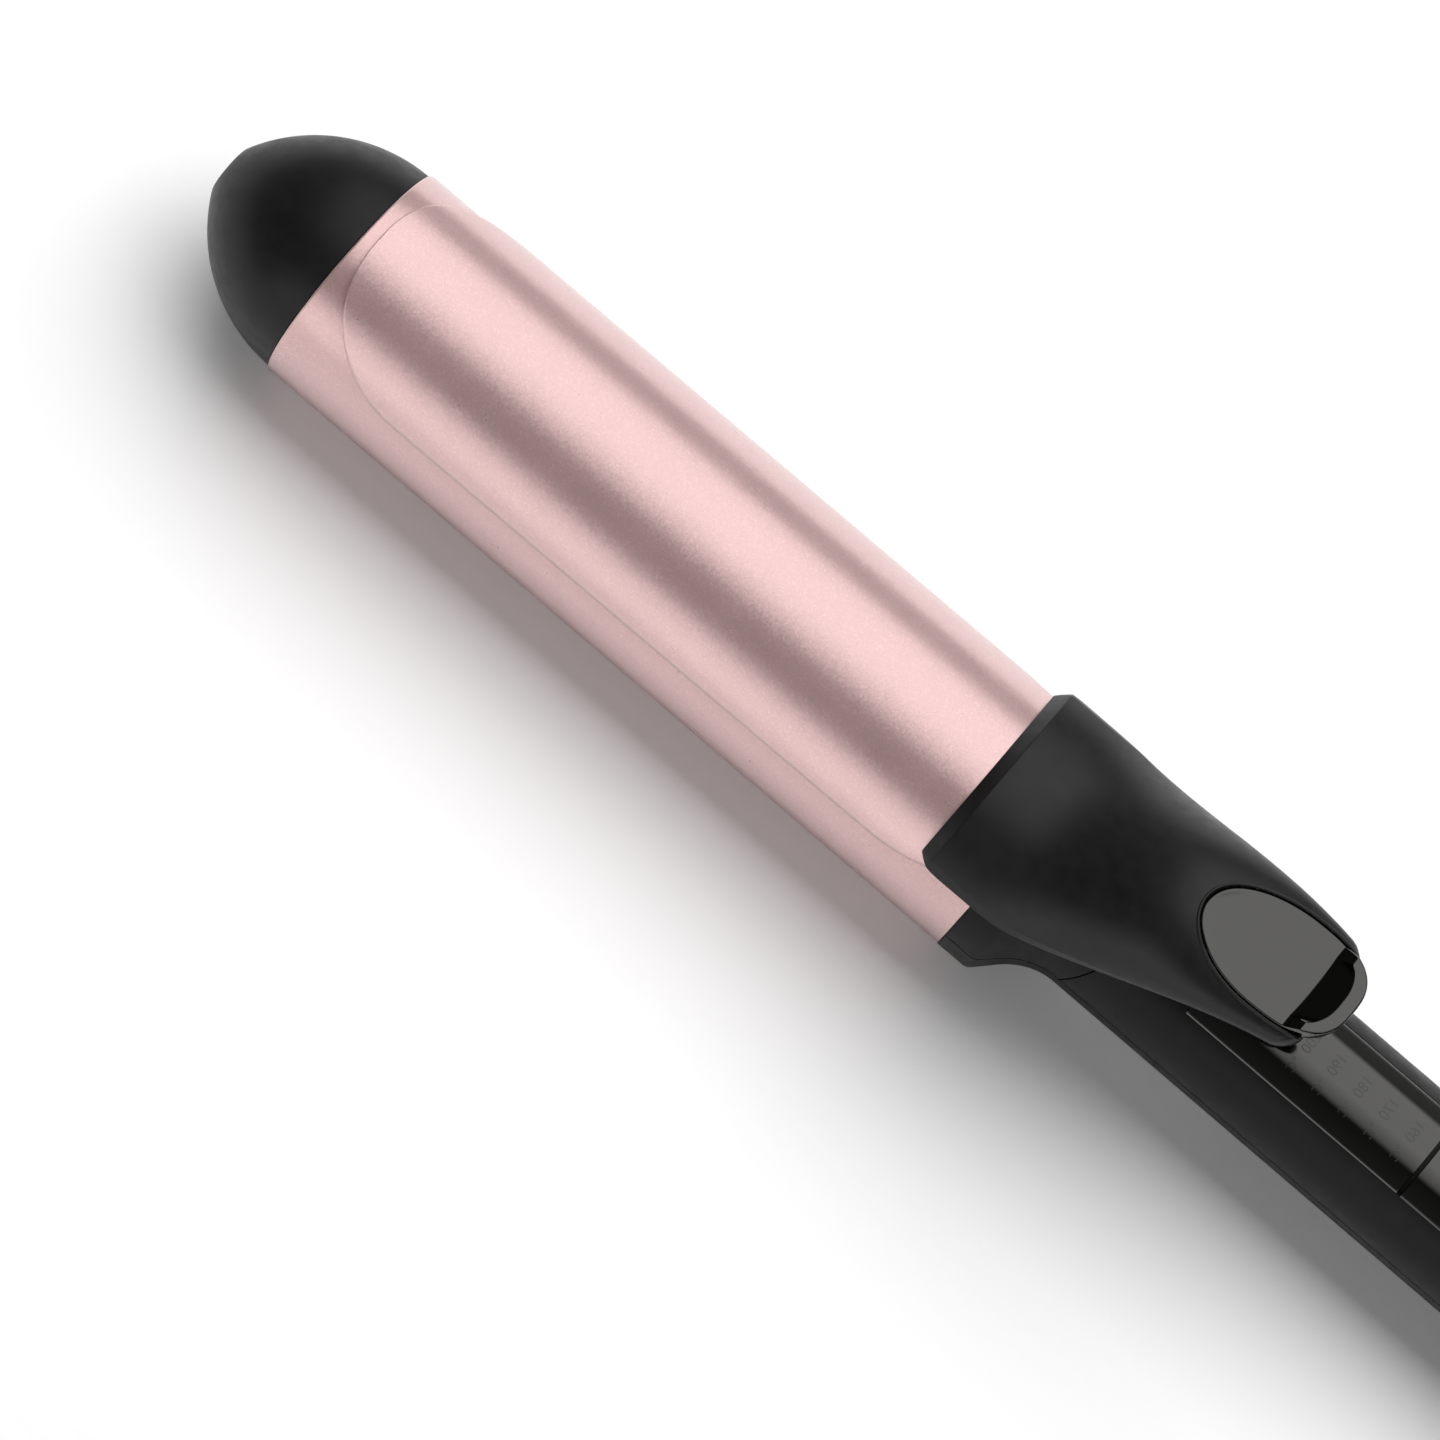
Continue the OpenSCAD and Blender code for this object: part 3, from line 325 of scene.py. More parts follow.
def rose_coat(name, color):
    """Metallic rose coat: flakes of slightly different tilt and tone under a clear layer, the brightest of them with a
    painted glint in their colour.
    """
    m = Mat(name, color, 0.29, metallic=0.65, Coat_Weight=1.0, Coat_IOR=1.5, Coat_Roughness=0.2)
    fine = m.node("ShaderNodeTexVoronoi", Vector=m.coord, Scale=FLAKES_PER_M)
    centred = m.node("ShaderNodeVectorMath", i0=fine.outputs["Color"], i1=(0.5, 0.5, 0.5))
    centred.operation = "SUBTRACT"
    scaled = m.node("ShaderNodeVectorMath", i0=centred.outputs["Vector"])
    scaled.operation = "SCALE"
    scaled.inputs["Scale"].default_value = FLAKE_TILT
    normal = m.node("ShaderNodeNewGeometry").outputs["Normal"]
    added = m.node("ShaderNodeVectorMath", i0=normal, i1=scaled.outputs["Vector"])
    unit = m.node("ShaderNodeVectorMath", i0=added.outputs["Vector"])
    unit.operation = "NORMALIZE"
    m.link(unit.outputs["Vector"], "Normal")
    red = m.node("ShaderNodeSeparateColor", Color=fine.outputs["Color"]).outputs["Red"]
    # Flakes differ a little in tone at random, and the brightest cells carry a painted glint: a lighter base colour in
    # place of light caught by the flake.
    tone_and_painted_glint = m.ramp(red, (0.0, shade(color, 0.95)), (0.85, shade(color, 1.02)), (1.0, shade(color, 1.12)))
    drift = m.node("ShaderNodeMix")
    drift.data_type = "RGBA"
    factor, first, second = drift.inputs[0], drift.inputs[6], drift.inputs[7]
    m.tree.links.new(m.remap(m.noise(30, 3), 0.0, 0.12), factor)
    m.tree.links.new(tone_and_painted_glint, first)
    second.default_value = (*shade(color, 0.86), 1)
    m.link(drift.outputs[2], "Base Color")
    m.link(m.remap(m.noise(150, 3), 0.27, 0.31), "Roughness")
    return m.mat


def metal(name, color, rough, brush=(40, 900, 900), **sockets):
    """Drawn or plated metal: fine lines along the part and a little uneven tarnish."""
    m = Mat(name, color, rough, metallic=1.0, **sockets)
    lines = m.noise(4.0, 4, vector=m.stretched(brush))
    m.link(m.ramp(m.noise(180, 4), (0.3, shade(color, 0.86)), (0.7, color)), "Base Color")
    m.link(m.remap(lines, rough - 0.08, rough + 0.1), "Roughness")
    m.link(m.bump(lines, 0.3, 0.02), "Normal")
    return m.mat


SHELL = plastic("shell_black", (0.0075, 0.0075, 0.0078), 0.4, grain=0.16, Specular_IOR_Level=0.17)
LEVER = plastic("lever_black", (0.0085, 0.0085, 0.0088), 0.37, grain=0.2, Specular_IOR_Level=0.36)
TIP = plastic("tip_black", (0.0085, 0.0082, 0.0088), 0.38, grain=0.22, Specular_IOR_Level=0.26)
GLOSS = plastic("gloss_black", (0.0012, 0.0012, 0.0010), 0.06, grain=0.02, grain_scale=300, spread=0.02, IOR=1.9,
               Specular_Tint=(1.0, 0.99, 0.96, 1.0))
KEY = plastic("button_black", (0.018, 0.018, 0.019), 0.28, grain=0.12, spread=0.04)
MARKS = plastic("print_grey", (0.42, 0.42, 0.42), 0.45, grain=0.1)
NUMERALS = plastic("numeral_grey", (0.014, 0.014, 0.013), 0.22, grain=0.05, IOR=1.7)
ROSE = rose_coat("barrel_rose", (0.76, 0.50, 0.49))
# The clip's coat is the barrel's coat with painted light: a little lighter, for the clip's place on top of the barrel.
ROSE_CLIP_LIT = rose_coat("clip_rose_lit", (0.79, 0.53, 0.52))
STEEL = metal("plated_steel", (0.60, 0.60, 0.61), 0.32)
SPRING = metal("spring_steel", (0.52, 0.52, 0.54), 0.28, brush=(900, 900, 60))
ALUMINIUM = metal("aluminium", (0.72, 0.73, 0.74), 0.38)
BRASS = metal("brass", (0.70, 0.54, 0.25), 0.3)
CERAMIC = plastic("heater_ceramic", (0.72, 0.70, 0.64), 0.6, grain=0.3, grain_scale=1500)
FILM = plastic("polyimide_film", (0.55, 0.27, 0.06), 0.25, grain=0.05)
BOARD = plastic("board_green", (0.02, 0.13, 0.05), 0.35, grain=0.3, grain_scale=900)
GREY = plastic("parts_grey", (0.05, 0.05, 0.06), 0.5)
MOUNT = plastic("mount_grey", (0.035, 0.035, 0.035), 0.6, grain=0.35)
LED = plastic("led_white", (0.75, 0.75, 0.70), 0.2, grain=0.05)
BEAD = plastic("glass_bead", (0.5, 0.12, 0.05), 0.12, grain=0.03)
SLEEVE = Mat("woven_sleeve", (0.66, 0.66, 0.62), 0.8)
weave = SLEEVE.node("ShaderNodeTexWave", Vector=SLEEVE.coord, Scale=2200.0, Distortion=1.5)
SLEEVE.link(SLEEVE.ramp(weave.outputs["Fac"], (0.0, (0.42, 0.42, 0.39)), (1.0, (0.70, 0.70, 0.66))), "Base Color")
SLEEVE.link(SLEEVE.bump(weave.outputs["Fac"], 0.4, 0.05), "Normal")

# Hidden nodes that no piece replaces carry their own material.
CARRIED = {
    "heat_spreader_upper": ALUMINIUM, "heat_spreader_lower": ALUMINIUM, "heater_plates": CERAMIC,
    "electrode_strips": BRASS, "insulating_films": FILM, "pressure_springs": SPRING, "thermistor": BEAD,
    "thermal_fuse": CERAMIC, "heater_leads": SLEEVE.mat, "barrel_mount": MOUNT, "tactile_switches": GREY,
    "temperature_leds": LED, "control_board": BOARD, "power_parts": GREY, "lever_bracket": STEEL,
    "clip_rivets": STEEL, "lever_screws": STEEL, "slip_rings": BRASS, "slip_contacts": BRASS,
    "swivel_retainer": MOUNT, "supply_leads": SLEEVE.mat,
}
for node, material in CARRIED.items():
    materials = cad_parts[node].data.materials
    materials.clear()
    materials.append(material)


# ---- cool tip and barrel
NOSE_R, NOSE_DOME = 4.1, 0.3
SPIGOT_LEN, SPIGOT_R = 9.0, BARREL_R - 1.1
BARREL_EDGE, BARREL_WALL = 0.35, 1


def eased_corner(a, corner, b, steps):
    """Points of a curve from a to b that leans towards a corner, without its ends."""
    return [tuple((1 - t) ** 2 * a[i] + 2 * t * (1 - t) * corner[i] + t * t * b[i] for i in (0, 1)) for t in steps]


def tip_profile():
    """One arc from the joint to the nose face, with softened edges at both."""
    side = TIP_LEN - NOSE_DOME
    side_r = (side ** 2 + (TIP_R - NOSE_R) ** 2) / (2 * (TIP_R - NOSE_R))
    nose = (NOSE_DOME ** 2 + NOSE_R ** 2) / (2 * NOSE_DOME)
    spigot = [(SPIGOT_LEN, 0.0), (SPIGOT_LEN, SPIGOT_R), (0.0, SPIGOT_R)]
    joint = [(0.0, TIP_R - 0.3), (-0.05, TIP_R - 0.13), (-0.15, TIP_R - 0.03)]
    body = [(-x, TIP_R - side_r + math.sqrt(side_r ** 2 - x ** 2)) for x in span(0.3, side - 0.1, 60)]
    face = [(-side - NOSE_DOME + nose - math.sqrt(nose ** 2 - r ** 2), r) for r in span(NOSE_R - 0.14, 0.0, 14)]
    rim = eased_corner(body[-1], (-side, NOSE_R), face[0], (0.2, 0.4, 0.6, 0.8))
    return spigot + joint + body + rim + face


def barrel_profile():
    """The tube's wall, with both outer edges rounded."""
    e, bore_r = BARREL_EDGE, BARREL_R - BARREL_WALL
    front = arc(e, BARREL_R - e, e, 180, 90, 5)
    skin = [(x, BARREL_R) for x in span(2, BARREL_LEN - 2, 24)]
    rear = arc(BARREL_LEN - e, BARREL_R - e, e, 90, 0, 5)
    return front + skin + rear + [(BARREL_LEN, bore_r), (0.0, bore_r)]


piece("tip_shell", turned(tip_profile(), 256), "handle", "tip_black", TIP, ["cool_tip"])
piece("barrel_sleeve", turned(barrel_profile(), 288), "handle", "barrel_pink", ROSE, ["barrel_tube"])


# ---- clip
CLIP_T, CLIP_GAP, CLIP_RISE = 0.6, 0.3, 0.75
CLIP_ANGLE = 62
CLIP_W = (BARREL_R + CLIP_GAP + CLIP_T) * sin(CLIP_ANGLE)
CLIP_SETBACK, CLIP_NOSE = 2.2, 20
CLIP_BODY = BARREL_LEN - 4
HEEL_LEN, HEEL_IN = 15, 4
TONGUE_W, TONGUE_END = 6.9, PIVOT_X + 7.5
CLIP_ROUND = 0.2
# The sheet's rounded edge, as steps inwards and down from its outer skin.
OUTER_EDGE = [(CLIP_ROUND * a, CLIP_ROUND * b) for a, b in ((1, 0), (0.3, 0.06), (0.06, 0.3), (0, 1))]
CLIP_EDGE = OUTER_EDGE + [(inset, CLIP_T - down) for inset, down in reversed(OUTER_EDGE)]


def oval(u, n):
    """Height of a superellipse of power n, 1 at its middle and 0 at u = 1."""
    return max(0.0, 1 - u ** n) ** (1 / n)


def clip_in(x):
    """Radius of the clip's inside, which rises a little towards the hood."""
    return BARREL_R + CLIP_GAP + CLIP_RISE * x / LEVER_X0


def clip_outline():
    """Half of the clip seen from above: round nose, straight body, heel and tongue."""
    nose = [(CLIP_SETBACK + CLIP_NOSE * (1 - oval(sin(a), 2.5)), CLIP_W * sin(a)) for a in span(0, 90, 72)]
    body = [(x, CLIP_W) for x in span(nose[-1][0], CLIP_BODY - HEEL_LEN, 40)[1:]]
    heel = [(CLIP_BODY - HEEL_LEN * (1 - u), CLIP_W - HEEL_IN * (1 - oval(u, 2))) for u in span(0, 0.97, 16)[1:]]
    tongue = [(CLIP_BODY + 2, TONGUE_W), (TONGUE_END, TONGUE_W)]
    return nose + body + heel + tongue


def outline_normals(line):
    """Unit normals of an open line of points, whose first point faces straight ahead."""
    normals = []
    for i in range(len(line)):
        a, b = line[max(i - 1, 0)], line[min(i + 1, len(line) - 1)]
        dx, dy = (b[0] - a[0], b[1] - a[1]) if i else (0.0, 1.0)
        d = math.hypot(dx, dy)
        normals.append((-dy / d, dx / d))
    return normals


def clip_point(place, normal, inset, down, v=1.0):
    """A point of the sheet: inset from the outline, down from its skin, at a share v of its half width."""
    x, y = place[0] - normal[0] * inset, max(0.0, place[1] - normal[1] * inset)
    r = clip_in(x) + CLIP_T - down
    t = math.asin(min(1.0, y / r)) * v
    return (x, r * math.sin(t), r * math.cos(t))


def clip_shape():
    line = clip_outline()
    across = span(-1, 1, 56)
    rows = []
    for spot in zip(line, outline_normals(line)):
        ring = [clip_point(*spot, CLIP_ROUND, 0.0, v) for v in across[:-1]]
        ring += [clip_point(*spot, i, d) for i, d in CLIP_EDGE]
        ring += [clip_point(*spot, CLIP_ROUND, CLIP_T, -v) for v in across[1:-1]]
        ring += [clip_point(*spot, i, d, -1.0) for i, d in reversed(CLIP_EDGE[1:])]
        rows.append(ring)
    verts, faces = grid(rows, ring=True)
    n = len(rows[0])
    faces.append(tuple(len(verts) - n + i for i in range(n)))
    return verts, faces


piece("clip_jaw", clip_shape(), "lever", "clip_pink", ROSE_CLIP_LIT, ["clip_plate"], angle=50)

# ---- thumb lever
HOOD_RISE, HOOD_FLARE, HOOD_ANGLE = 3.8, 0.9, 50
HOOD_R = BARREL_R + HOOD_RISE
HOOD_W, HOOD_EDGE = (HOOD_R + HOOD_FLARE) * sin(HOOD_ANGLE), (HOOD_R + HOOD_FLARE) * cos(HOOD_ANGLE)
HOOD_ARCH = 2 * math.degrees(math.atan((HOOD_R - HOOD_EDGE) / HOOD_W))
LIFT, TAIL_W, TAIL_ARCH = 13.0, 9.3, 78.0
RISE_X, RISE_LEN = BARREL_LEN - 3, 28
WAIST_X = RISE_X + 7.4
LEVER_WALL, THICK_WALL = 2.0, 3.2


def lever_t(x):
    """How far the crest has risen, 0 at the hood and 1 at the lever's end."""
    return 0.75 * ease((x - RISE_X) / RISE_LEN) + 0.25 * max(0.0, (x - RISE_X) / (LEVER_X1 - RISE_X)) ** 1.5


def lever_u(x):
    """How far the section has changed from the hood's to the tail's."""
    return ease((x - RISE_X - 5) / (LEVER_X1 - RISE_X - 7.3))


def soft_positive(t):
    """0 below 0 and t above, with a short round bend between them."""
    return (math.sqrt(t * t + 0.002) + t) / 2


def lever_end(x):
    """The share of its width that the lever keeps near its rounded end."""
    return math.sqrt(1 - 0.42 * min(max((x - LEVER_X1 + 3.5) / 3.5, 0.0), 1.0) ** 2)


def lever_top(x):
    return HOOD_R + LIFT * lever_t(x)


def lever_section(x):
    """Half width, edge height, top height, half angle, flatness and skin at a place along the lever."""
    u = lever_u(x)
    narrowed = (HOOD_W - 0.1 - TAIL_W) * soft_positive((x - WAIST_X) / (LEVER_X1 - WAIST_X))
    half_width = (HOOD_W + 0.2 - narrowed) * lever_end(x)
    edge = mix(HOOD_EDGE, HOOD_R + LIFT - 4.5, u)
    skin = mix(LEVER_WALL, THICK_WALL, 1.3 * lever_t(x))
    return half_width, edge, lever_top(x), mix(HOOD_ARCH, TAIL_ARCH, u), mix(1, 0.46, u), skin


def lever_surface(x, y):
    """Height of the lever's outer skin at a place."""
    w, h, z, a, m, _ = lever_section(min(x, LEVER_X1 - 0.8))
    s = min(abs(y) / w, 0.999) * sin(a)
    return h + (z - h) * max(0.0, (math.sqrt(1 - s * s) - cos(a)) / (1 - cos(a))) ** m


PAD_X0, PAD_LEN, PAD_W = LEVER_X0 + 35.8, 26.4, 8.3
PAD_WIDE = 0.553  # the share of its length at which the pad is widest
GROOVE_DEPTH, GROOVE_EDGE, GROOVE_RAMP = 1.5, 0.16, 0.12


def egg(p):
    """Share of the pad's half width at a share p of its length."""
    p = min(max(p, 0.0), 1.0)
    return oval((PAD_WIDE - p) / PAD_WIDE, 2) if p < PAD_WIDE else oval((p - PAD_WIDE) / (1 - PAD_WIDE), 2.8)


def egg_point(t, grow=0.0):
    """A point of the pad's outline at angle t, moved outwards by grow."""
    def raw(t):
        c, s = cos(t), sin(t)
        k = 1 if c < 0 else 1 / 1.4
        run = PAD_WIDE if c < 0 else 1 - PAD_WIDE
        return (PAD_X0 + PAD_LEN * (PAD_WIDE + math.copysign(run * abs(c) ** k, c)),
                PAD_W * math.copysign(abs(s) ** k, s))
    (x, y), a, b = raw(t), raw(t - 0.4), raw(t + 0.4)
    dx, dy = b[0] - a[0], b[1] - a[1]
    d = math.hypot(dx, dy) or 1.0
    return (x + grow * dy / d, y - grow * dx / d)


def resample(line, n, start=0.0, end=None):
    """n + 1 points evenly along part of a polyline of pairs, and the whole line's length."""
    pts = np.array(line)
    s = np.concatenate([[0.0], np.cumsum(np.hypot(*np.diff(pts, axis=0).T))])
    end = s[-1] if end is None else end
    q = np.linspace(start, end, n + 1)
    return list(zip(np.interp(q, s, pts[:, 0]), np.interp(q, s, pts[:, 1]))), s[-1]


def half_arch(x, drop, n=60):
    """Points from the crest to the edge of the lever's section, sunk by drop."""
    w, h, z, a, m, _ = lever_section(x)
    out = []
    for i in range(n + 1):
        b = a * i / n
        k = max(0.0, (cos(b) - cos(a)) / (1 - cos(a))) ** m
        out.append(((w - drop * sin(a)) * sin(b) / sin(a), (h - drop * cos(a)) + (z - drop - h + drop * cos(a)) * k))
    return out


CHAMFER, CHAMFER_END, CHAMFER_FADE = 2.0, 1.88, 0.24
CORNER, CORNER_LEN, TAIL_ROUND = 1.5, 4.5, 0.7
BAND_TILT = 15


def end_drop(x):
    """How far the front chamfer and the rounded tail take the skin down."""
    front, back = x - LEVER_X0, LEVER_X1 - x
    if front < CHAMFER_END:
        chamfer = CHAMFER - front
    else:
        chamfer = 0.12 * max(0.0, 1 - (front - CHAMFER_END) / CHAMFER_FADE) ** 2
    tail = TAIL_ROUND - math.sqrt(TAIL_ROUND ** 2 - (TAIL_ROUND - back) ** 2) if back < TAIL_ROUND else 0.0
    return max(chamfer, 0.0) + tail


def lever_half(x):
    """Half of the lever's ring of (y, z) points, over the skin to the rim and back inside, and how many are skin."""
    skin, drop = lever_section(x)[5], end_drop(x)
    front = x - LEVER_X0
    corner = CORNER * (1 - math.sqrt(1 - (1 - front / CORNER_LEN) ** 2)) if front < CORNER_LEN else 0.0
    outer, inner = half_arch(x, drop), half_arch(x, skin)
    length, in_length = resample(outer, 1)[1], resample(inner, 1)[1]
    band = mix(1.35, 0.75, (x - 150) / 25) * min(1.0, 1.0 - drop / 2.5)
    top = resample(outer, 62, 0, length - corner - band)[0]
    (ty, tz), (ey, ez) = top[-1], resample(outer, 60, 0, length - corner)[0][-1]
    # The band along the rim turns a little further down than the skin does.
    ry = cos(BAND_TILT) * (ey - ty) + sin(BAND_TILT) * (ez - tz)
    rz = cos(BAND_TILT) * (ez - tz) - sin(BAND_TILT) * (ey - ty)
    rim = [(ty + ry * t, tz + rz * t) for t in (0.04, 0.3, 0.65, 0.95)]
    below = resample(inner, 30, 0, in_length - corner * 0.9)[0]
    (py, pz), (iy, iz) = (ty + ry - 0.06, tz + rz - 0.05), below[-1]
    return top + rim + [(py, pz), ((py + iy) / 2, (pz + iz) / 2), (iy, iz)] + below[::-1][1:], len(top)


def sink_pad(x, half, n_top, line):
    """Lowers the skin inside the pad's outline, so that the pad sits in a groove."""
    pts = np.array([(x, y) for y, _ in half[:n_top]])
    dist = np.sqrt(((pts[:, None, :] - line[None, :, :]) ** 2).sum(2)).min(1)
    inside = np.abs(pts[:, 1]) < PAD_W * egg((x - PAD_X0) / PAD_LEN)
    signed = np.where(inside, -dist, dist)
    sink = GROOVE_DEPTH * np.clip((GROOVE_EDGE - signed) / GROOVE_RAMP, 0, 1)
    return [(y, z - float(down)) for (y, z), down in zip(half, sink)] + half[n_top:]


def lever_rows():
    near_front = (0, 0.1, 0.25, 0.5, 0.9, 1.4, 1.86, 1.9, 1.95, 2.0, 2.06, 2.12, 2.2, 2.4, 2.8, 3.2, 3.6, 4.0)
    near_end = (0.75, 0.5, 0.3, 0.15, 0.05, 0.0)
    xs = ([LEVER_X0 + d for d in near_front] + span(LEVER_X0 + 4.5, PAD_X0 - 2, 74)
          + span(PAD_X0 - 2, LEVER_X1 - 1, 110)[1:] + [LEVER_X1 - d for d in near_end])
    line = np.array([egg_point(t) for t in span(0, 360, 240)[:-1]])
    rows = []
    for x in xs:
        half, n_top = lever_half(x)
        if x > PAD_X0 - 1:
            half = sink_pad(x, half, n_top, line)
        rows.append([(x, y, z) for y, z in half] + [(x, -y, z) for y, z in reversed(half[1:-1])])
    return rows


piece("lever_body", loft(lever_rows()), "lever", "lever_black", LEVER, ["thumb_lever"],
      angle=38)


def on_lever(t, grow, lift):
    """A point over the lever's skin, out from the pad's outline by grow."""
    x, y = egg_point(t, grow)
    return (x, y, lever_surface(x, y) + lift)


# A raised bead runs round the pad as far as the lever's end.
BEAD_OUT, BEAD_LIFT, BEAD_R = 0.44, -0.02, 0.26
bead = [on_lever(t, BEAD_OUT, BEAD_LIFT) for t in span(0, 360, 260)[:-1]]
kept = [i for i, p in enumerate(bead) if p[0] < LEVER_X1 - 0.4]
piece("lever_bead", tube(bead[kept[0]:kept[-1] + 1], BEAD_R), "lever", "lever_black", LEVER)

PAD_LIP, PAD_FOOT = 1.6, 0.745


def ramp_up(q):
    """A straight ramp from 0 to 1 with slightly rounded ends."""
    return (math.sqrt(q * q + 0.002) + q - math.sqrt((q - 1) ** 2 + 0.002) - q + 1) / 2


def pad_height(x, y):
    """Height of the pad's face: a shallow dish whose rear slopes up to a lip that follows the outline."""
    p = (x - PAD_X0) / PAD_LEN
    w = max(PAD_W * egg(p), 0.05)
    side = lever_surface(x, w) + 0.10
    if x > LEVER_X1 - 3:
        side = mix(side, lever_top(x) - 1.0, (x - LEVER_X1 + 3) / 3)
    middle = lever_top(x) - 0.45 - 0.8 * egg(p)
    dish = mix(middle, max(side, middle), min(1.0, abs(y) / w) ** 2.4)
    foot = PAD_X0 + PAD_FOOT * PAD_LEN
    lip = PAD_X0 + PAD_LEN * (PAD_WIDE + (1 - PAD_WIDE) * 0.82 * oval(min(1.0, abs(y) / (PAD_W - 1.1)), 2.8))
    return dish + PAD_LIP * ramp_up((x - foot) / max(lip - foot, 2.3))


def pad_floor(x):
    """Height of the pad's underside, which follows the lip up."""
    return lever_top(x) - 2.1 + PAD_LIP * ease(((x - PAD_X0) / PAD_LEN - 0.74) / 0.17) * 0.75


def pad_shape():
    """The pad as scaled copies of its outline: face, rounded rim, wall and underside."""
    outline = [egg_point(t) for t in span(0, 360, 280)[:-1]]
    cx = PAD_X0 + PAD_WIDE * PAD_LEN

    def scaled(r):
        return [(cx + (x - cx) * r, y * r) for x, y in outline]

    rows = [[(x, y, pad_height(x, y)) for x, y in scaled(r)]
            for r in [0.0] + span(0.03, 0.9, 48) + [0.915, 0.93, 0.945, 0.96]]
    last = [z for _, _, z in rows[-1]]
    for r, fall in ((0.975, 0.03), (0.987, 0.09), (0.995, 0.19), (1.0, 0.34)):
        rows.append([(x, y, z - fall) for (x, y), z in zip(scaled(r), last)])
    wall = [max(min(pad_floor(x), lever_surface(x, y) - 0.7), lever_top(x) - 3.0) for x, y in outline]
    rows.append([(x, y, z) for (x, y), z in zip(outline, wall)])
    rows.append([(x, y, z - 0.22) for (x, y), z in zip(scaled(0.96), wall)])
    rows.append([(cx, 0.0, pad_floor(cx) - 0.2)] * len(outline))
    return grid(rows, ring=True)


piece("pad_face", pad_shape(), "lever", "pad_black", GLOSS, ["thumb_pad"], angle=60)

# ---- collar, neck and handle
SPLIT = HANDLE_Z  # height of the seam between the shells
GAP = 0.11  # half of each visible joint between the shells
COLLAR_R, COLLAR_END, SHOULDER = BARREL_R + 0.1, BARREL_LEN + 4.8, 1.8
NECK = HANDLE_X - COLLAR_END
BLEND_R = (NECK - SHOULDER * (2 ** 0.5 - 1) - (COLLAR_R - HANDLE_R)) / (2 ** 0.5 - 1)
SLANT, CUT_X = 23.0, HANDLE_X + 0.5
TAIL_LEN, TAIL_R = 10.0, 9.6
TAIL_ARC = (TAIL_LEN ** 2 + (HANDLE_R - TAIL_R) ** 2) / (2 * (HANDLE_R - TAIL_R))


def outer_r(x):
    """Radius of the outside from the collar ring to the tail."""
    if x <= COLLAR_END:
        return COLLAR_R
    if x <= COLLAR_END + SHOULDER * sin(45):
        return COLLAR_R - SHOULDER + math.sqrt(SHOULDER ** 2 - (x - COLLAR_END) ** 2)
    if x >= HANDLE_X:
        if x > TAIL_END - TAIL_LEN:
            return HANDLE_R - TAIL_ARC + math.sqrt(max(0.0, TAIL_ARC ** 2 - (x - TAIL_END + TAIL_LEN) ** 2))
        return HANDLE_R
    if x >= HANDLE_X - BLEND_R * sin(45):
        return HANDLE_R + BLEND_R - math.sqrt(BLEND_R ** 2 - (HANDLE_X - x) ** 2)
    return COLLAR_R - SHOULDER * (1 - cos(45)) - (x - COLLAR_END - SHOULDER * sin(45))


def axis_z(x):
    """Height of the neck's axis, which goes over from the barrel's to the handle's."""
    return HANDLE_Z * ease((x - COLLAR_END) / NECK)


def slant_x(v):
    """Where the slanted joint between collar and upper shell lies, v running from side to side."""
    return CUT_X + (HANDLE_R * cos(90 * v)) * math.tan(rad(SLANT))


NECK_XS = ([BARREL_LEN + 0.02] + span(BARREL_LEN + 0.8, COLLAR_END, 6)
           + span(COLLAR_END, COLLAR_END + 1.27, 6)[1:] + span(COLLAR_END + 1.6, HANDLE_X, 22))
TAIL_XS = span(TAIL_END - TAIL_LEN, TAIL_END - 0.01, 16)[1:]
LOWER_XS = NECK_XS + span(HANDLE_X, TAIL_END - TAIL_LEN, 70)[1:] + TAIL_XS


def shell_rows(xs_of, side, n):
    """Half a shell: side 1 above the seam, -1 below it. Outside from front to back, inside back again."""
    rows = []
    for v in span(-1.0, 1.0, n):
        outside, inside = [], []
        for x in xs_of(v):
            zc = axis_z(x)
            for row, r in ((outside, outer_r(x)), (inside, outer_r(x) - SHELL_WALL)):
                most = math.degrees(math.acos(max(-1.0, min(1.0, side * (SPLIT + side * GAP - zc) / r))))
                row.append((x, r * sin(most * v), zc + side * r * cos(most * v)))
        rows.append(outside + inside[::-1])
    return rows


def collar_xs(v):
    return NECK_XS + span(HANDLE_X, slant_x(v) - GAP, 8)[1:]


def drum(y0, y1, r, x, z, bore=0.0, n=48):
    """A cylinder across the part, or a ring where it has a bore."""
    return turned([(y0, bore), (y0, r), (y1, r), (y1, bore)], n, z=z, axis="y", at_x=x)


def black_shell(name, shape, nodes=(), **finish):
    piece(name, shape, "handle", "shell_black", SHELL, nodes, **finish)


sockets = [drum(*hole, PIVOT_X, PIVOT_Z) for hole in ((-2.6, 2.6, 3.2), (-7.0, -8.5, 2.95), (7.0, 8.5, 2.95))]
black_shell("collar_shell", loft(shell_rows(collar_xs, 1, 96)), ["front_collar"], cuts=sockets, bevel=0.14)


def eye(x, z, r, foot, angles, y_from, y_to):
    """A round eye on a straight foot, once on each side of the middle."""
    loop = [(x + r * cos(a), z + r * sin(a)) for a in span(*angles, 24)]
    loop += [(loop[-1][0], foot), (loop[0][0], foot)]
    return join(*[loft([[(px, side * y, pz) for px, pz in loop] for y in (y_from, y_to)]) for side in (1, -1)])


black_shell("collar_knuckles", eye(PIVOT_X, PIVOT_Z, 2.4, 10.5, (0, 180), 2.6, 6.9), bevel=0.25)

# Rows on both sides of an edge, a thousandth apart, keep the panel's recess crisp.
FRONT_WALL, REAR_WALL = WINDOW_X[0] - 0.0495, KEYPAD_X[1] + 0.0495
SCREW_X = 157.0  # where the heads of the lever's screws come down at full press


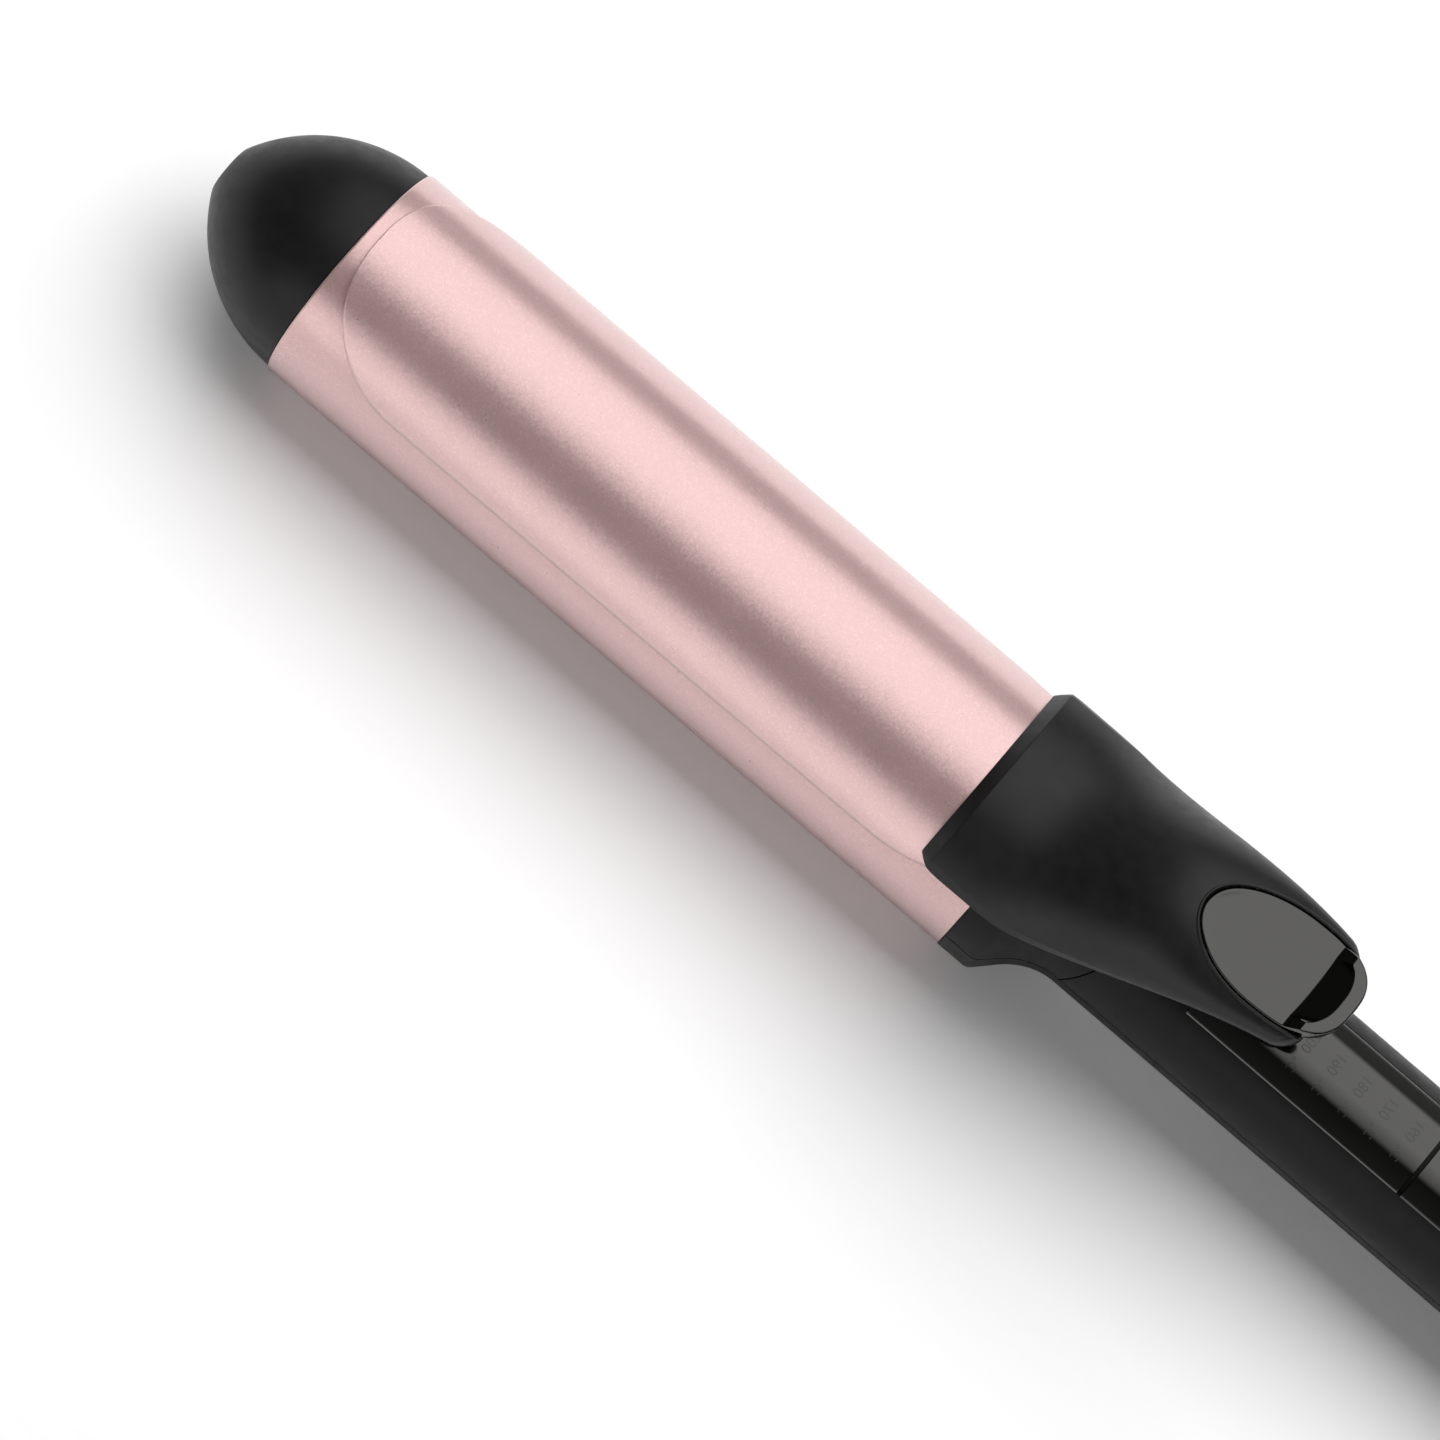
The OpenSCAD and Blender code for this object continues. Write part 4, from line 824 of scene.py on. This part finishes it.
def upper_xs(v):
    return (span(slant_x(v) + GAP, WINDOW_X[0] - 0.4, 10) + [FRONT_WALL - 0.0005, FRONT_WALL + 0.0005]
            + span(WINDOW_X[0] + 1, KEYPAD_X[1] - 1, 40) + [REAR_WALL - 0.0005, REAR_WALL + 0.0005]
            + span(KEYPAD_X[1] + 0.4, TAIL_END - TAIL_LEN, 12) + TAIL_XS)


def panel_recess(x, a):
    """Radius of the upper shell's outside, sunk under the panel and a hair under the lever's screw heads."""
    if FRONT_WALL < x < REAR_WALL and abs(a) < PANEL_ANGLE + 0.16:
        return HANDLE_R - PANEL_T - 0.05
    relief = 0.16 * min(1.0, max(0.0, 4.5 - abs(x - SCREW_X))) * min(1.0, max(0.0, (38 - abs(a)) / 6))
    return outer_r(x) - relief


def upper_rows():
    """The upper shell's rows follow the panel's edges, so that the recess has crisp walls."""
    wall = [PANEL_ANGLE + 0.159, PANEL_ANGLE + 0.17]
    angles = (span(-90, -PANEL_ANGLE - 0.6, 26) + [-a for a in reversed(wall)]
              + span(-PANEL_ANGLE + 1, PANEL_ANGLE - 1, 24) + wall + span(PANEL_ANGLE + 0.6, 90, 26))
    rows = []
    most = 90 - math.degrees(math.asin(GAP / HANDLE_R))
    for a in (max(-most, min(most, angle)) for angle in angles):
        outside, inside = [], []
        for x in upper_xs(a / 90):
            out, r = panel_recess(x, a), min(HANDLE_R - SHELL_WALL, outer_r(x) - 1.2)
            outside.append((x, out * sin(a), SPLIT + out * cos(a)))
            inside.append((x, r * sin(a), SPLIT + max(GAP, r * cos(a))))
        rows.append(outside + inside[::-1])
    return rows


black_shell("upper_case", loft(upper_rows()), ["upper_shell"], bevel=0.13)

# The shell's screws: place along the handle and depth of each well's floor.
WELL_R, SHANK_HOLE_R, BELOW = 2.45, 1.3, -30.0
WELL_Z = HANDLE_Z - HANDLE_R + 1.6
SCREWS = [(HANDLE_X + 11.5, WELL_Z), (KEYPAD_X[1] + 4, WELL_Z), (COLLAR_END + 3.3, -12.0)]
wells = [turned([(BELOW, 0.0), (BELOW, WELL_R), (z, WELL_R), (z, SHANK_HOLE_R), (0.0, SHANK_HOLE_R), (0.0, 0.0)],
                48, axis="z", at_x=x) for x, z in SCREWS]
stand_slot = drum(-3.1, 3.1, 2.45, STAND_X, STAND_Z)
lower_rows = [[(x, y, max(z, -BARREL_R)) for x, y, z in row] for row in shell_rows(lambda v: LOWER_XS, -1, 120)]
black_shell("lower_case", loft(lower_rows), ["lower_shell"], cuts=wells + [stand_slot], bevel=0.14)


def block(x0, x1, w, z0, z1):
    verts = [(x, y, z) for x, z in ((x0, z0), (x1, z0), (x1, z1), (x0, z1)) for y in (-w, w)]
    return verts, [(0, 2, 4, 6), (1, 3, 5, 7), (0, 1, 3, 2), (2, 3, 5, 4), (4, 5, 7, 6), (6, 7, 1, 0)]


rest_foot = block(BARREL_LEN + 0.3, COLLAR_END - 0.9, 8.5, -BARREL_R, -BARREL_R + 4)
black_shell("rest_foot", rest_foot, bevel=0.35, steps=3)
black_shell("stand_ears", eye(STAND_X, STAND_Z, 2.1, -10.6, (180, 360), 3.1, 5.0), bevel=0.25)


def cross_cut(x, z):
    """A cross recess for a screwdriver, in a head whose face points down at z."""
    bars = []
    for a in (0, 90):
        c, s = cos(a), sin(a)
        ring = [(x + c * u - s * v, s * u + c * v) for u, v in ((-1.5, -0.28), (1.5, -0.28), (1.5, 0.28), (-1.5, 0.28))]
        tip = [(x + 0.45 * (px - x), 0.45 * py) for px, py in ring]
        levels = ((ring, z - 0.4), (ring, z), (tip, z + 0.9))
        bars.append(loft([[(px, py, height) for px, py in points] for points, height in levels]))
    return bars


def screw(x, z):
    """A pan head below its well's floor at z, with a plain shank."""
    return turned([(z - 1.5, 0.0), (z - 1.5, 1.7)] + arc(z - 1.0, 1.85, 0.5, 180, 90, 5)
                  + [(z, 2.35), (z, 1.2), (z + 14, 1.2), (z + 14, 0.0)], 64, axis="z", at_x=x)


for name, node, places in (("case_screws", "shell_screws", SCREWS[:2]), ("neck_screw", "collar_screw", SCREWS[2:])):
    piece(name, join(*[screw(x, z) for x, z in places]), "handle", "steel", STEEL, [node],
          cuts=[bar for x, z in places for bar in cross_cut(x, z - 1.5)], bevel=0.06)


# ---- panel, buttons and marks
def panel_shape(x0, x1):
    """A curved plate flush with the handle, its edges cut straight down."""
    r0, r1, w = HANDLE_R - PANEL_T, HANDLE_R, PANEL_ANGLE
    rows = []
    for x in span(x0, x1, 40):
        top = [(x, r1 * sin(a), SPLIT + r1 * cos(a)) for a in span(-w, w, 48)]
        low_w = math.degrees(math.asin(min(1, r1 * sin(w) / r0)))
        under = [(x, r0 * sin(a), SPLIT + r0 * cos(a)) for a in span(low_w, -low_w, 24)]
        rows.append(top + under)
    return loft(rows)


piece("window_glass", panel_shape(*WINDOW_X), "handle", "panel_black", GLOSS, ["display_window"], bevel=0.16)
KEY_GAP, KEY_R = 0.2, HANDLE_R + 0.3
holes = [turned([(0.0, 0.0), (0.0, r + KEY_GAP), (30.0, r + KEY_GAP), (30.0, 0.0)], 96, axis="z", at_x=x)
         for x, r in BUTTONS.values()]
piece("keypad_face", panel_shape(*KEYPAD_X), "handle", "panel_black", GLOSS, ["keypad_panel"], cuts=holes, bevel=0.1)


def on_cylinder(shape, r):
    """Flat points lifted on to the handle's curve at radius r."""
    return [(x, y, SPLIT + math.sqrt(max(0.0, r * r - y * y))) for x, y in shape]


def button_shape(x0, r):
    """A round key whose face follows the handle's curve, softly rounded at its edge."""
    low_z = mm_box("power_button")[0][2] - Z0

    def ring(radius):
        return [(x0 + radius * cos(a), radius * sin(a)) for a in span(0, 360, 72)[:-1]]

    rows = []
    for k, fall in ([(t, 0.0) for t in span(0.02, 0.86, 12)] + [(0.91, 0.03), (0.95, 0.09), (0.98, 0.2), (1.0, 0.42)]):
        rows.append([(x, y, z - fall) for x, y, z in on_cylinder(ring(k * r), KEY_R)])
    for radius, height in ((r, 1.2), (r + KEY_FLANGE, 1.2), (r + KEY_FLANGE, 0.0)):
        rows.append([(x, y, low_z + height) for x, y in ring(radius)])
    return loft(rows)


def mark_shape(outline, x0):
    """A flat closed outline laid on a key's face, standing proud by a hair."""
    placed = [(x0 + x, y) for x, y in outline]
    return loft([on_cylinder(placed, KEY_R + 0.05), on_cylinder(placed, KEY_R - 0.2)])


def bar(length, width, turn):
    """Outline of a straight stroke, given by its half length and half width."""
    c, s = cos(turn), sin(turn)
    pts = [(-length, -width), (0.0, -width), (length, -width), (length, width), (0.0, width), (-length, width)]
    return [(c * u - s * v, s * u + c * v) for u, v in pts]


def open_ring(r, width, gap):
    """Outline of a ring that is open by an angle on both sides of the tip's direction."""
    a = span(gap, 360 - gap, 40)
    return [(k * -cos(t), k * sin(t)) for k, turn in ((r + width, a), (r - width, a[::-1])) for t in turn]


key_body = {"plus_button": "plus_key", "minus_button": "minus_key", "power_button": "power_key"}
signs = {"plus_button": [bar(1.1, 0.17, 0), bar(1.1, 0.17, 90)], "minus_button": [bar(1.1, 0.17, 90)],
         "power_button": [open_ring(1.45, 0.16, 38), [(x - 1.1, y) for x, y in bar(0.75, 0.16, 0)]]}
for node, (x, r) in BUTTONS.items():
    stem = node.split("_")[0]
    piece(stem + "_key_cap", button_shape(x, r), key_body[node], "button_black", KEY, [node], angle=40)
    piece(stem + "_sign", join(*[mark_shape(o, x) for o in signs[node]]), key_body[node], "led_white", MARKS)


def numeral(text, x, y, size, name):
    """Type on the window: made flat, turned so that the tip is up, then bent to the glass."""
    font = bpy.data.curves.new(name, "FONT")
    font.body, font.size, font.resolution_u = text, size / 1000, 4
    font.align_x = font.align_y = "CENTER"
    ob = bpy.data.objects.new(name, font)
    bpy.context.scene.collection.objects.link(ob)
    flat = bpy.data.meshes.new_from_object(ob.evaluated_get(bpy.context.evaluated_depsgraph_get()))
    bpy.data.objects.remove(ob)
    bm = bmesh.new()
    bm.from_mesh(flat)
    bmesh.ops.remove_doubles(bm, verts=bm.verts, dist=1e-6)
    verts = [(x - v.co.y * 1000, y - v.co.x * 1000) for v in bm.verts]
    faces = [tuple(v.index for v in f.verts) for f in bm.faces]
    bm.free()
    return on_cylinder(verts, HANDLE_R + 0.012), faces


HOTTEST, DEGREES_APART = 200, 10
STEP_PITCH = 5
steps = span(WINDOW_X[1] - 3.7 - 4 * STEP_PITCH, WINDOW_X[1] - 3.7, 4)
numbers = [numeral(str(HOTTEST - DEGREES_APART * i), x, 0.9, 2.5, f"step{i}") for i, x in enumerate(steps)]
units = [numeral("°C", x, -3.4, 2.1, f"unit{i}") for i, x in enumerate(steps)]
piece("window_numerals", join(*numbers, *units), "handle", "led_white", NUMERALS, angle=60)

# ---- hinge pin, spring, stand and swivel
pin_y, PIN_R = (mm_box("lever_pin")[1][1] - mm_box("lever_pin")[0][1]) / 2, 1.5
pin_end = [(0.8, PIN_R), (0.7, 2.3), (0.35, 2.05), (0.1, PIN_R), (0.0, 0.0)]
pin = [(inset - pin_y, r) for inset, r in reversed(pin_end)] + [(pin_y - inset, r) for inset, r in pin_end]
piece("hinge_pin", turned(pin, 64, z=PIVOT_Z, axis="y", at_x=PIVOT_X), "lever", "steel", STEEL, ["lever_pin"])

WIRE_R, COIL_R, COIL_LEN, TURNS = 0.42, 2.4, 3.8, 4.5
coil = [(PIVOT_X + COIL_R * math.sin(t), COIL_LEN * (t / (2 * math.pi * TURNS) - 0.5), PIVOT_Z + COIL_R * math.cos(t))
        for t in (2 * math.pi * TURNS * i / 200 for i in range(201))]
(_, y0, z0), (_, y1, z1) = coil[0], coil[-1]
upper_leg = [(PIVOT_X + 6.5, y0, z0 - 1.2), (PIVOT_X + 3.0, y0, z0 - 0.3)]
lower_leg = [(PIVOT_X + 2.0, y1, z1), (PIVOT_X + 4.0, y1, z1)]
piece("hinge_spring", tube(upper_leg + coil + lower_leg, WIRE_R), "handle", "steel", SPRING, ["lever_spring"])

axle = [(-5.2, 0.0), (-5.2, 0.8), (-5.0, 1.0), (5.0, 1.0), (5.2, 0.8), (5.2, 0.0)]
piece("stand_axle", turned(axle, 48, z=STAND_Z, axis="y", at_x=STAND_X), "handle", "steel", STEEL, ["stand_pin"])


STRAP_T, STRAP_RIM, HUB_W = 1.2, 2.2, 3.0


def stand_shape():
    """A steel strap with a finger opening, rolled round its pin at the front."""
    low, high = mm_box("stand")
    w, end, t = (high[1] - low[1]) / 2, high[0] - X0, STRAP_T / 2
    cx, x_in, wi = end - w, STAND_X + 10, w - STRAP_RIM
    tip = [(cx + w * cos(a), w * sin(a)) for a in span(-90, 90, 32)]
    side = [(STAND_X + 20.0, w), (STAND_X + 12.0, w)]
    side += [(STAND_X + 4.4 + 0.8 * (1 - sin(a)), w - 0.8 + 0.8 * cos(a)) for a in span(0, 90, 5)]
    side += [(STAND_X + 3.6, HUB_W), (STAND_X + 3.6, 0.0)]
    outer = tip + side + [(x, -y) for x, y in reversed(side[:-1])]
    # The opening's outline has as many points as the outer one, so that the two can be joined.
    path = [(cx, wi), (x_in + 1, wi)] + [(x_in + 1 - sin(a), wi - 1 + cos(a)) for a in span(0, 90, 6)]
    path += [(x_in, -wi + 1)] + [(x_in + 1 - cos(a), -wi + 1 - sin(a)) for a in span(0, 90, 6)] + [(cx, -wi)]
    inner = [(cx + wi * cos(a), wi * sin(a)) for a in span(-90, 90, 32)]
    inner += resample(path, len(outer) - len(tip) + 1)[0][1:-1]
    rings = [[(float(x), float(y), STAND_Z + z) for x, y in loop]
             for loop, z in ((inner, t), (outer, t), (outer, -t), (inner, -t))]
    hub = drum(-HUB_W, HUB_W, 2.1, STAND_X, STAND_Z, bore=1.05, n=64)
    neck = block(STAND_X + 1.2, STAND_X + 4.4, HUB_W, STAND_Z - t, STAND_Z + t)
    return join(grid(rings, ring=True, loop=True), hub, neck)


piece("stand_strap", stand_shape(), "kickstand", "steel", STEEL, ["stand"], bevel=0.15)


RIBS, RIB_PITCH, RIB_TAPER = 4, 1.9, 0.72


def swivel_profile():
    """The gland behind the tail: a flange groove, then ribs that taper to the cord bore."""
    front, end = TAIL_END - 9, SWIVEL_END
    out = [(front - 18, 3.5), (front - 18, 4.3), (front, 4.3), (front, 9.6), (front + 2.9, 9.6), (front + 2.9, 7.85),
           (TAIL_END + 0.5, 7.85), (TAIL_END + 0.9, 8.3)] + arc(TAIL_END + 1.9, 7.9, 0.85, 150, 60, 6)
    x, r = TAIL_END + 2.9, 8.3
    for _ in range(RIBS):
        out += [(x + 0.2, r - 0.55), (x + 0.55, r - 0.65)] + arc(x + 1.25, r - 0.75, 0.62, 165, 15, 6)
        x, r = x + RIB_PITCH, r - RIB_TAPER
    return out + [(end - 0.6, 5.25), (end - 0.2, 5.1), (end, 4.8), (end, 3.75), (end - 0.3, 3.5)]


piece("swivel_boot", turned(swivel_profile(), 144, z=HANDLE_Z), "swivel", "shell_black", SHELL, ["swivel_gland"],
      angle=40)

# ---- camera
CAMERA_AT, AZIMUTH, ELEVATION, ROLL = (114.6, -350.2, 927.8), 4.914, 70.113, 35.967
cam_data = bpy.data.cameras.new("camera")
cam_data.lens, cam_data.sensor_width, cam_data.clip_end = 166.12, 36.0, 50
camera = bpy.data.objects.new("camera", cam_data)
bpy.context.scene.collection.objects.link(camera)
bpy.context.scene.camera = camera
back = Vector((sin(AZIMUTH) * cos(ELEVATION), -cos(AZIMUTH) * cos(ELEVATION), sin(ELEVATION)))
level_right = Vector((0, 0, 1)).cross(back).normalized()
right = cos(ROLL) * level_right + sin(ROLL) * back.cross(level_right)
turn = Matrix((right, back.cross(right), back)).transposed()
camera.matrix_world = Matrix.Translation(at(CAMERA_AT)) @ turn.to_4x4()

# ---- floor, studio and lamps
middle = Vector(((cad_box[0][0] + cad_box[1][0]) / 2, 0, 0))


def stage_material(name):
    m = Mat(name, (1, 1, 1), 0.5)
    m.tree.nodes.remove(m.bsdf)
    return m


def stage_mesh(name, verts, faces, m, shader):
    """A mesh of the stage, in metres, whose whole surface is one shader."""
    m.tree.links.new(shader, m.tree.nodes["Material Output"].inputs["Surface"])
    mesh = bpy.data.meshes.new(name)
    mesh.from_pydata(verts, [], faces)
    mesh.materials.append(m.mat)
    ob = bpy.data.objects.new(name, mesh)
    bpy.context.scene.collection.objects.link(ob)
    return ob


# White paper, lifted a little for the camera and clear from below.
WHITE_LIFT, REACH = 0.08, 6.0
paper = stage_material("floor_white")
grain = paper.bump(paper.noise(260, 4, rough=0.5), 0.25, 0.4)
diffuse = paper.node("ShaderNodeBsdfDiffuse", Color=(0.95, 0.95, 0.95, 1), Normal=grain)
lift = paper.calc("MULTIPLY", paper.node("ShaderNodeLightPath").outputs["Is Camera Ray"], WHITE_LIFT)
glow = paper.node("ShaderNodeEmission", Strength=lift)
both = paper.node("ShaderNodeAddShader", i0=diffuse.outputs[0], i1=glow.outputs[0])
below = paper.node("ShaderNodeNewGeometry").outputs["Backfacing"]
clear = paper.node("ShaderNodeBsdfTransparent").outputs[0]
choose = paper.node("ShaderNodeMixShader", i0=below, i1=both.outputs[0], i2=clear)
corners = [(-REACH, -REACH, 0), (REACH, -REACH, 0), (REACH, REACH, 0), (-REACH, REACH, 0)]
stage_mesh("floor", corners, [(0, 1, 2, 3)], paper, choose.outputs[0])

# The studio's walls as the iron's gloss sees them: bright and dark strips along X.
# Angles run from the front (-Y) over the top to the back (+Y).
WALL_R, WALL_END = 2.4, 3.0
FIRST, LAST = -20, 186
STRIPS = [(FIRST, 0.95), (12, 1.35), (30, 1.05), (42, 0.08), (72, 0.04), (79, 0.65), (98, 1.22), (147, 1.2),
          (154, 0.2), (176, 0.2), (184, 0.8)]
# The strips end short of the tip's side, so that faces turned that way go dark.
DARK, BRIGHT, TIP_FADE, HANDLE_FADE = 0.03, 1.41, (-1.75, -1.3), (2.1, 1.7)
paint = stage_material("studio_wall")
place = paint.node("ShaderNodeSeparateXYZ", i0=paint.coord).outputs
around = paint.calc("ARCTAN2", place["Z"], paint.calc("MULTIPLY", place["Y"], -1))
strips = paint.ramp(paint.remap(around, 0, 1, rad(FIRST), rad(LAST)),
                    *[((a - FIRST) / (LAST - FIRST), (v / 2, v / 2, v / 2)) for a, v in STRIPS])
along = [paint.remap(place["X"], DARK, BRIGHT, *fade, smooth=True) for fade in (TIP_FADE, HANDLE_FADE)]
emit = paint.node("ShaderNodeEmission", Color=strips, Strength=paint.calc("MULTIPLY", *along))
profile = ((-WALL_END, 0.0), (-WALL_END, WALL_R), (WALL_END, WALL_R), (WALL_END, 0.0))
rows = [[(x, -r * cos(a), r * sin(a)) for x, r in profile] for a in span(-12, 179.5, 64)]
wall = stage_mesh("studio_wall", *grid(rows), paint, emit.outputs[0])
wall.location = (middle.x, 0, Z0 / 1000)
for ray in ("camera", "diffuse", "shadow", "transmission", "volume_scatter"):
    setattr(wall, "visible_" + ray, False)


def softbox(name, angle, distance, width, length, radiance):
    """An area lamp along X, seen from the iron at an angle from the front over the top."""
    data = bpy.data.lights.new(name, "AREA")
    data.shape, data.size, data.size_y = "RECTANGLE", length, width
    data.energy = radiance * math.pi * length * width
    ob = bpy.data.objects.new(name, data)
    bpy.context.scene.collection.objects.link(ob)
    ob.location = middle + Vector((0, -distance * cos(angle), distance * sin(angle)))
    ob.rotation_euler = (middle - ob.location).to_track_quat("-Z", "Y").to_euler()
    ob.visible_camera = ob.visible_glossy = False


softbox("key", angle=115, distance=2.3, width=2.1, length=3.4, radiance=3.2)
softbox("fill", angle=14, distance=2.3, width=0.8, length=3.2, radiance=0.48)

# The world lights the scene dimly, and is white where it is seen.
AMBIENT, SEEN = 0.165, 1.0
world = bpy.data.worlds.new("world")
bpy.context.scene.world = world
world.use_nodes = True
tree = world.node_tree
backdrop = tree.nodes["Background"]
paths = tree.nodes.new("ShaderNodeLightPath")
total = paths.outputs["Is Camera Ray"]
for kind in ("Is Glossy Ray", "Is Transmission Ray"):
    node = tree.nodes.new("ShaderNodeMath")
    node.operation, node.use_clamp = "ADD", True
    tree.links.new(total, node.inputs[0])
    tree.links.new(paths.outputs[kind], node.inputs[1])
    total = node.outputs[0]
level = tree.nodes.new("ShaderNodeMapRange")
level.inputs["To Min"].default_value, level.inputs["To Max"].default_value = AMBIENT, SEEN
tree.links.new(total, level.inputs["Value"])
backdrop.inputs["Color"].default_value = (1, 1, 1, 1)
tree.links.new(level.outputs["Result"], backdrop.inputs["Strength"])

bpy.context.scene.view_settings.view_transform = "Standard"
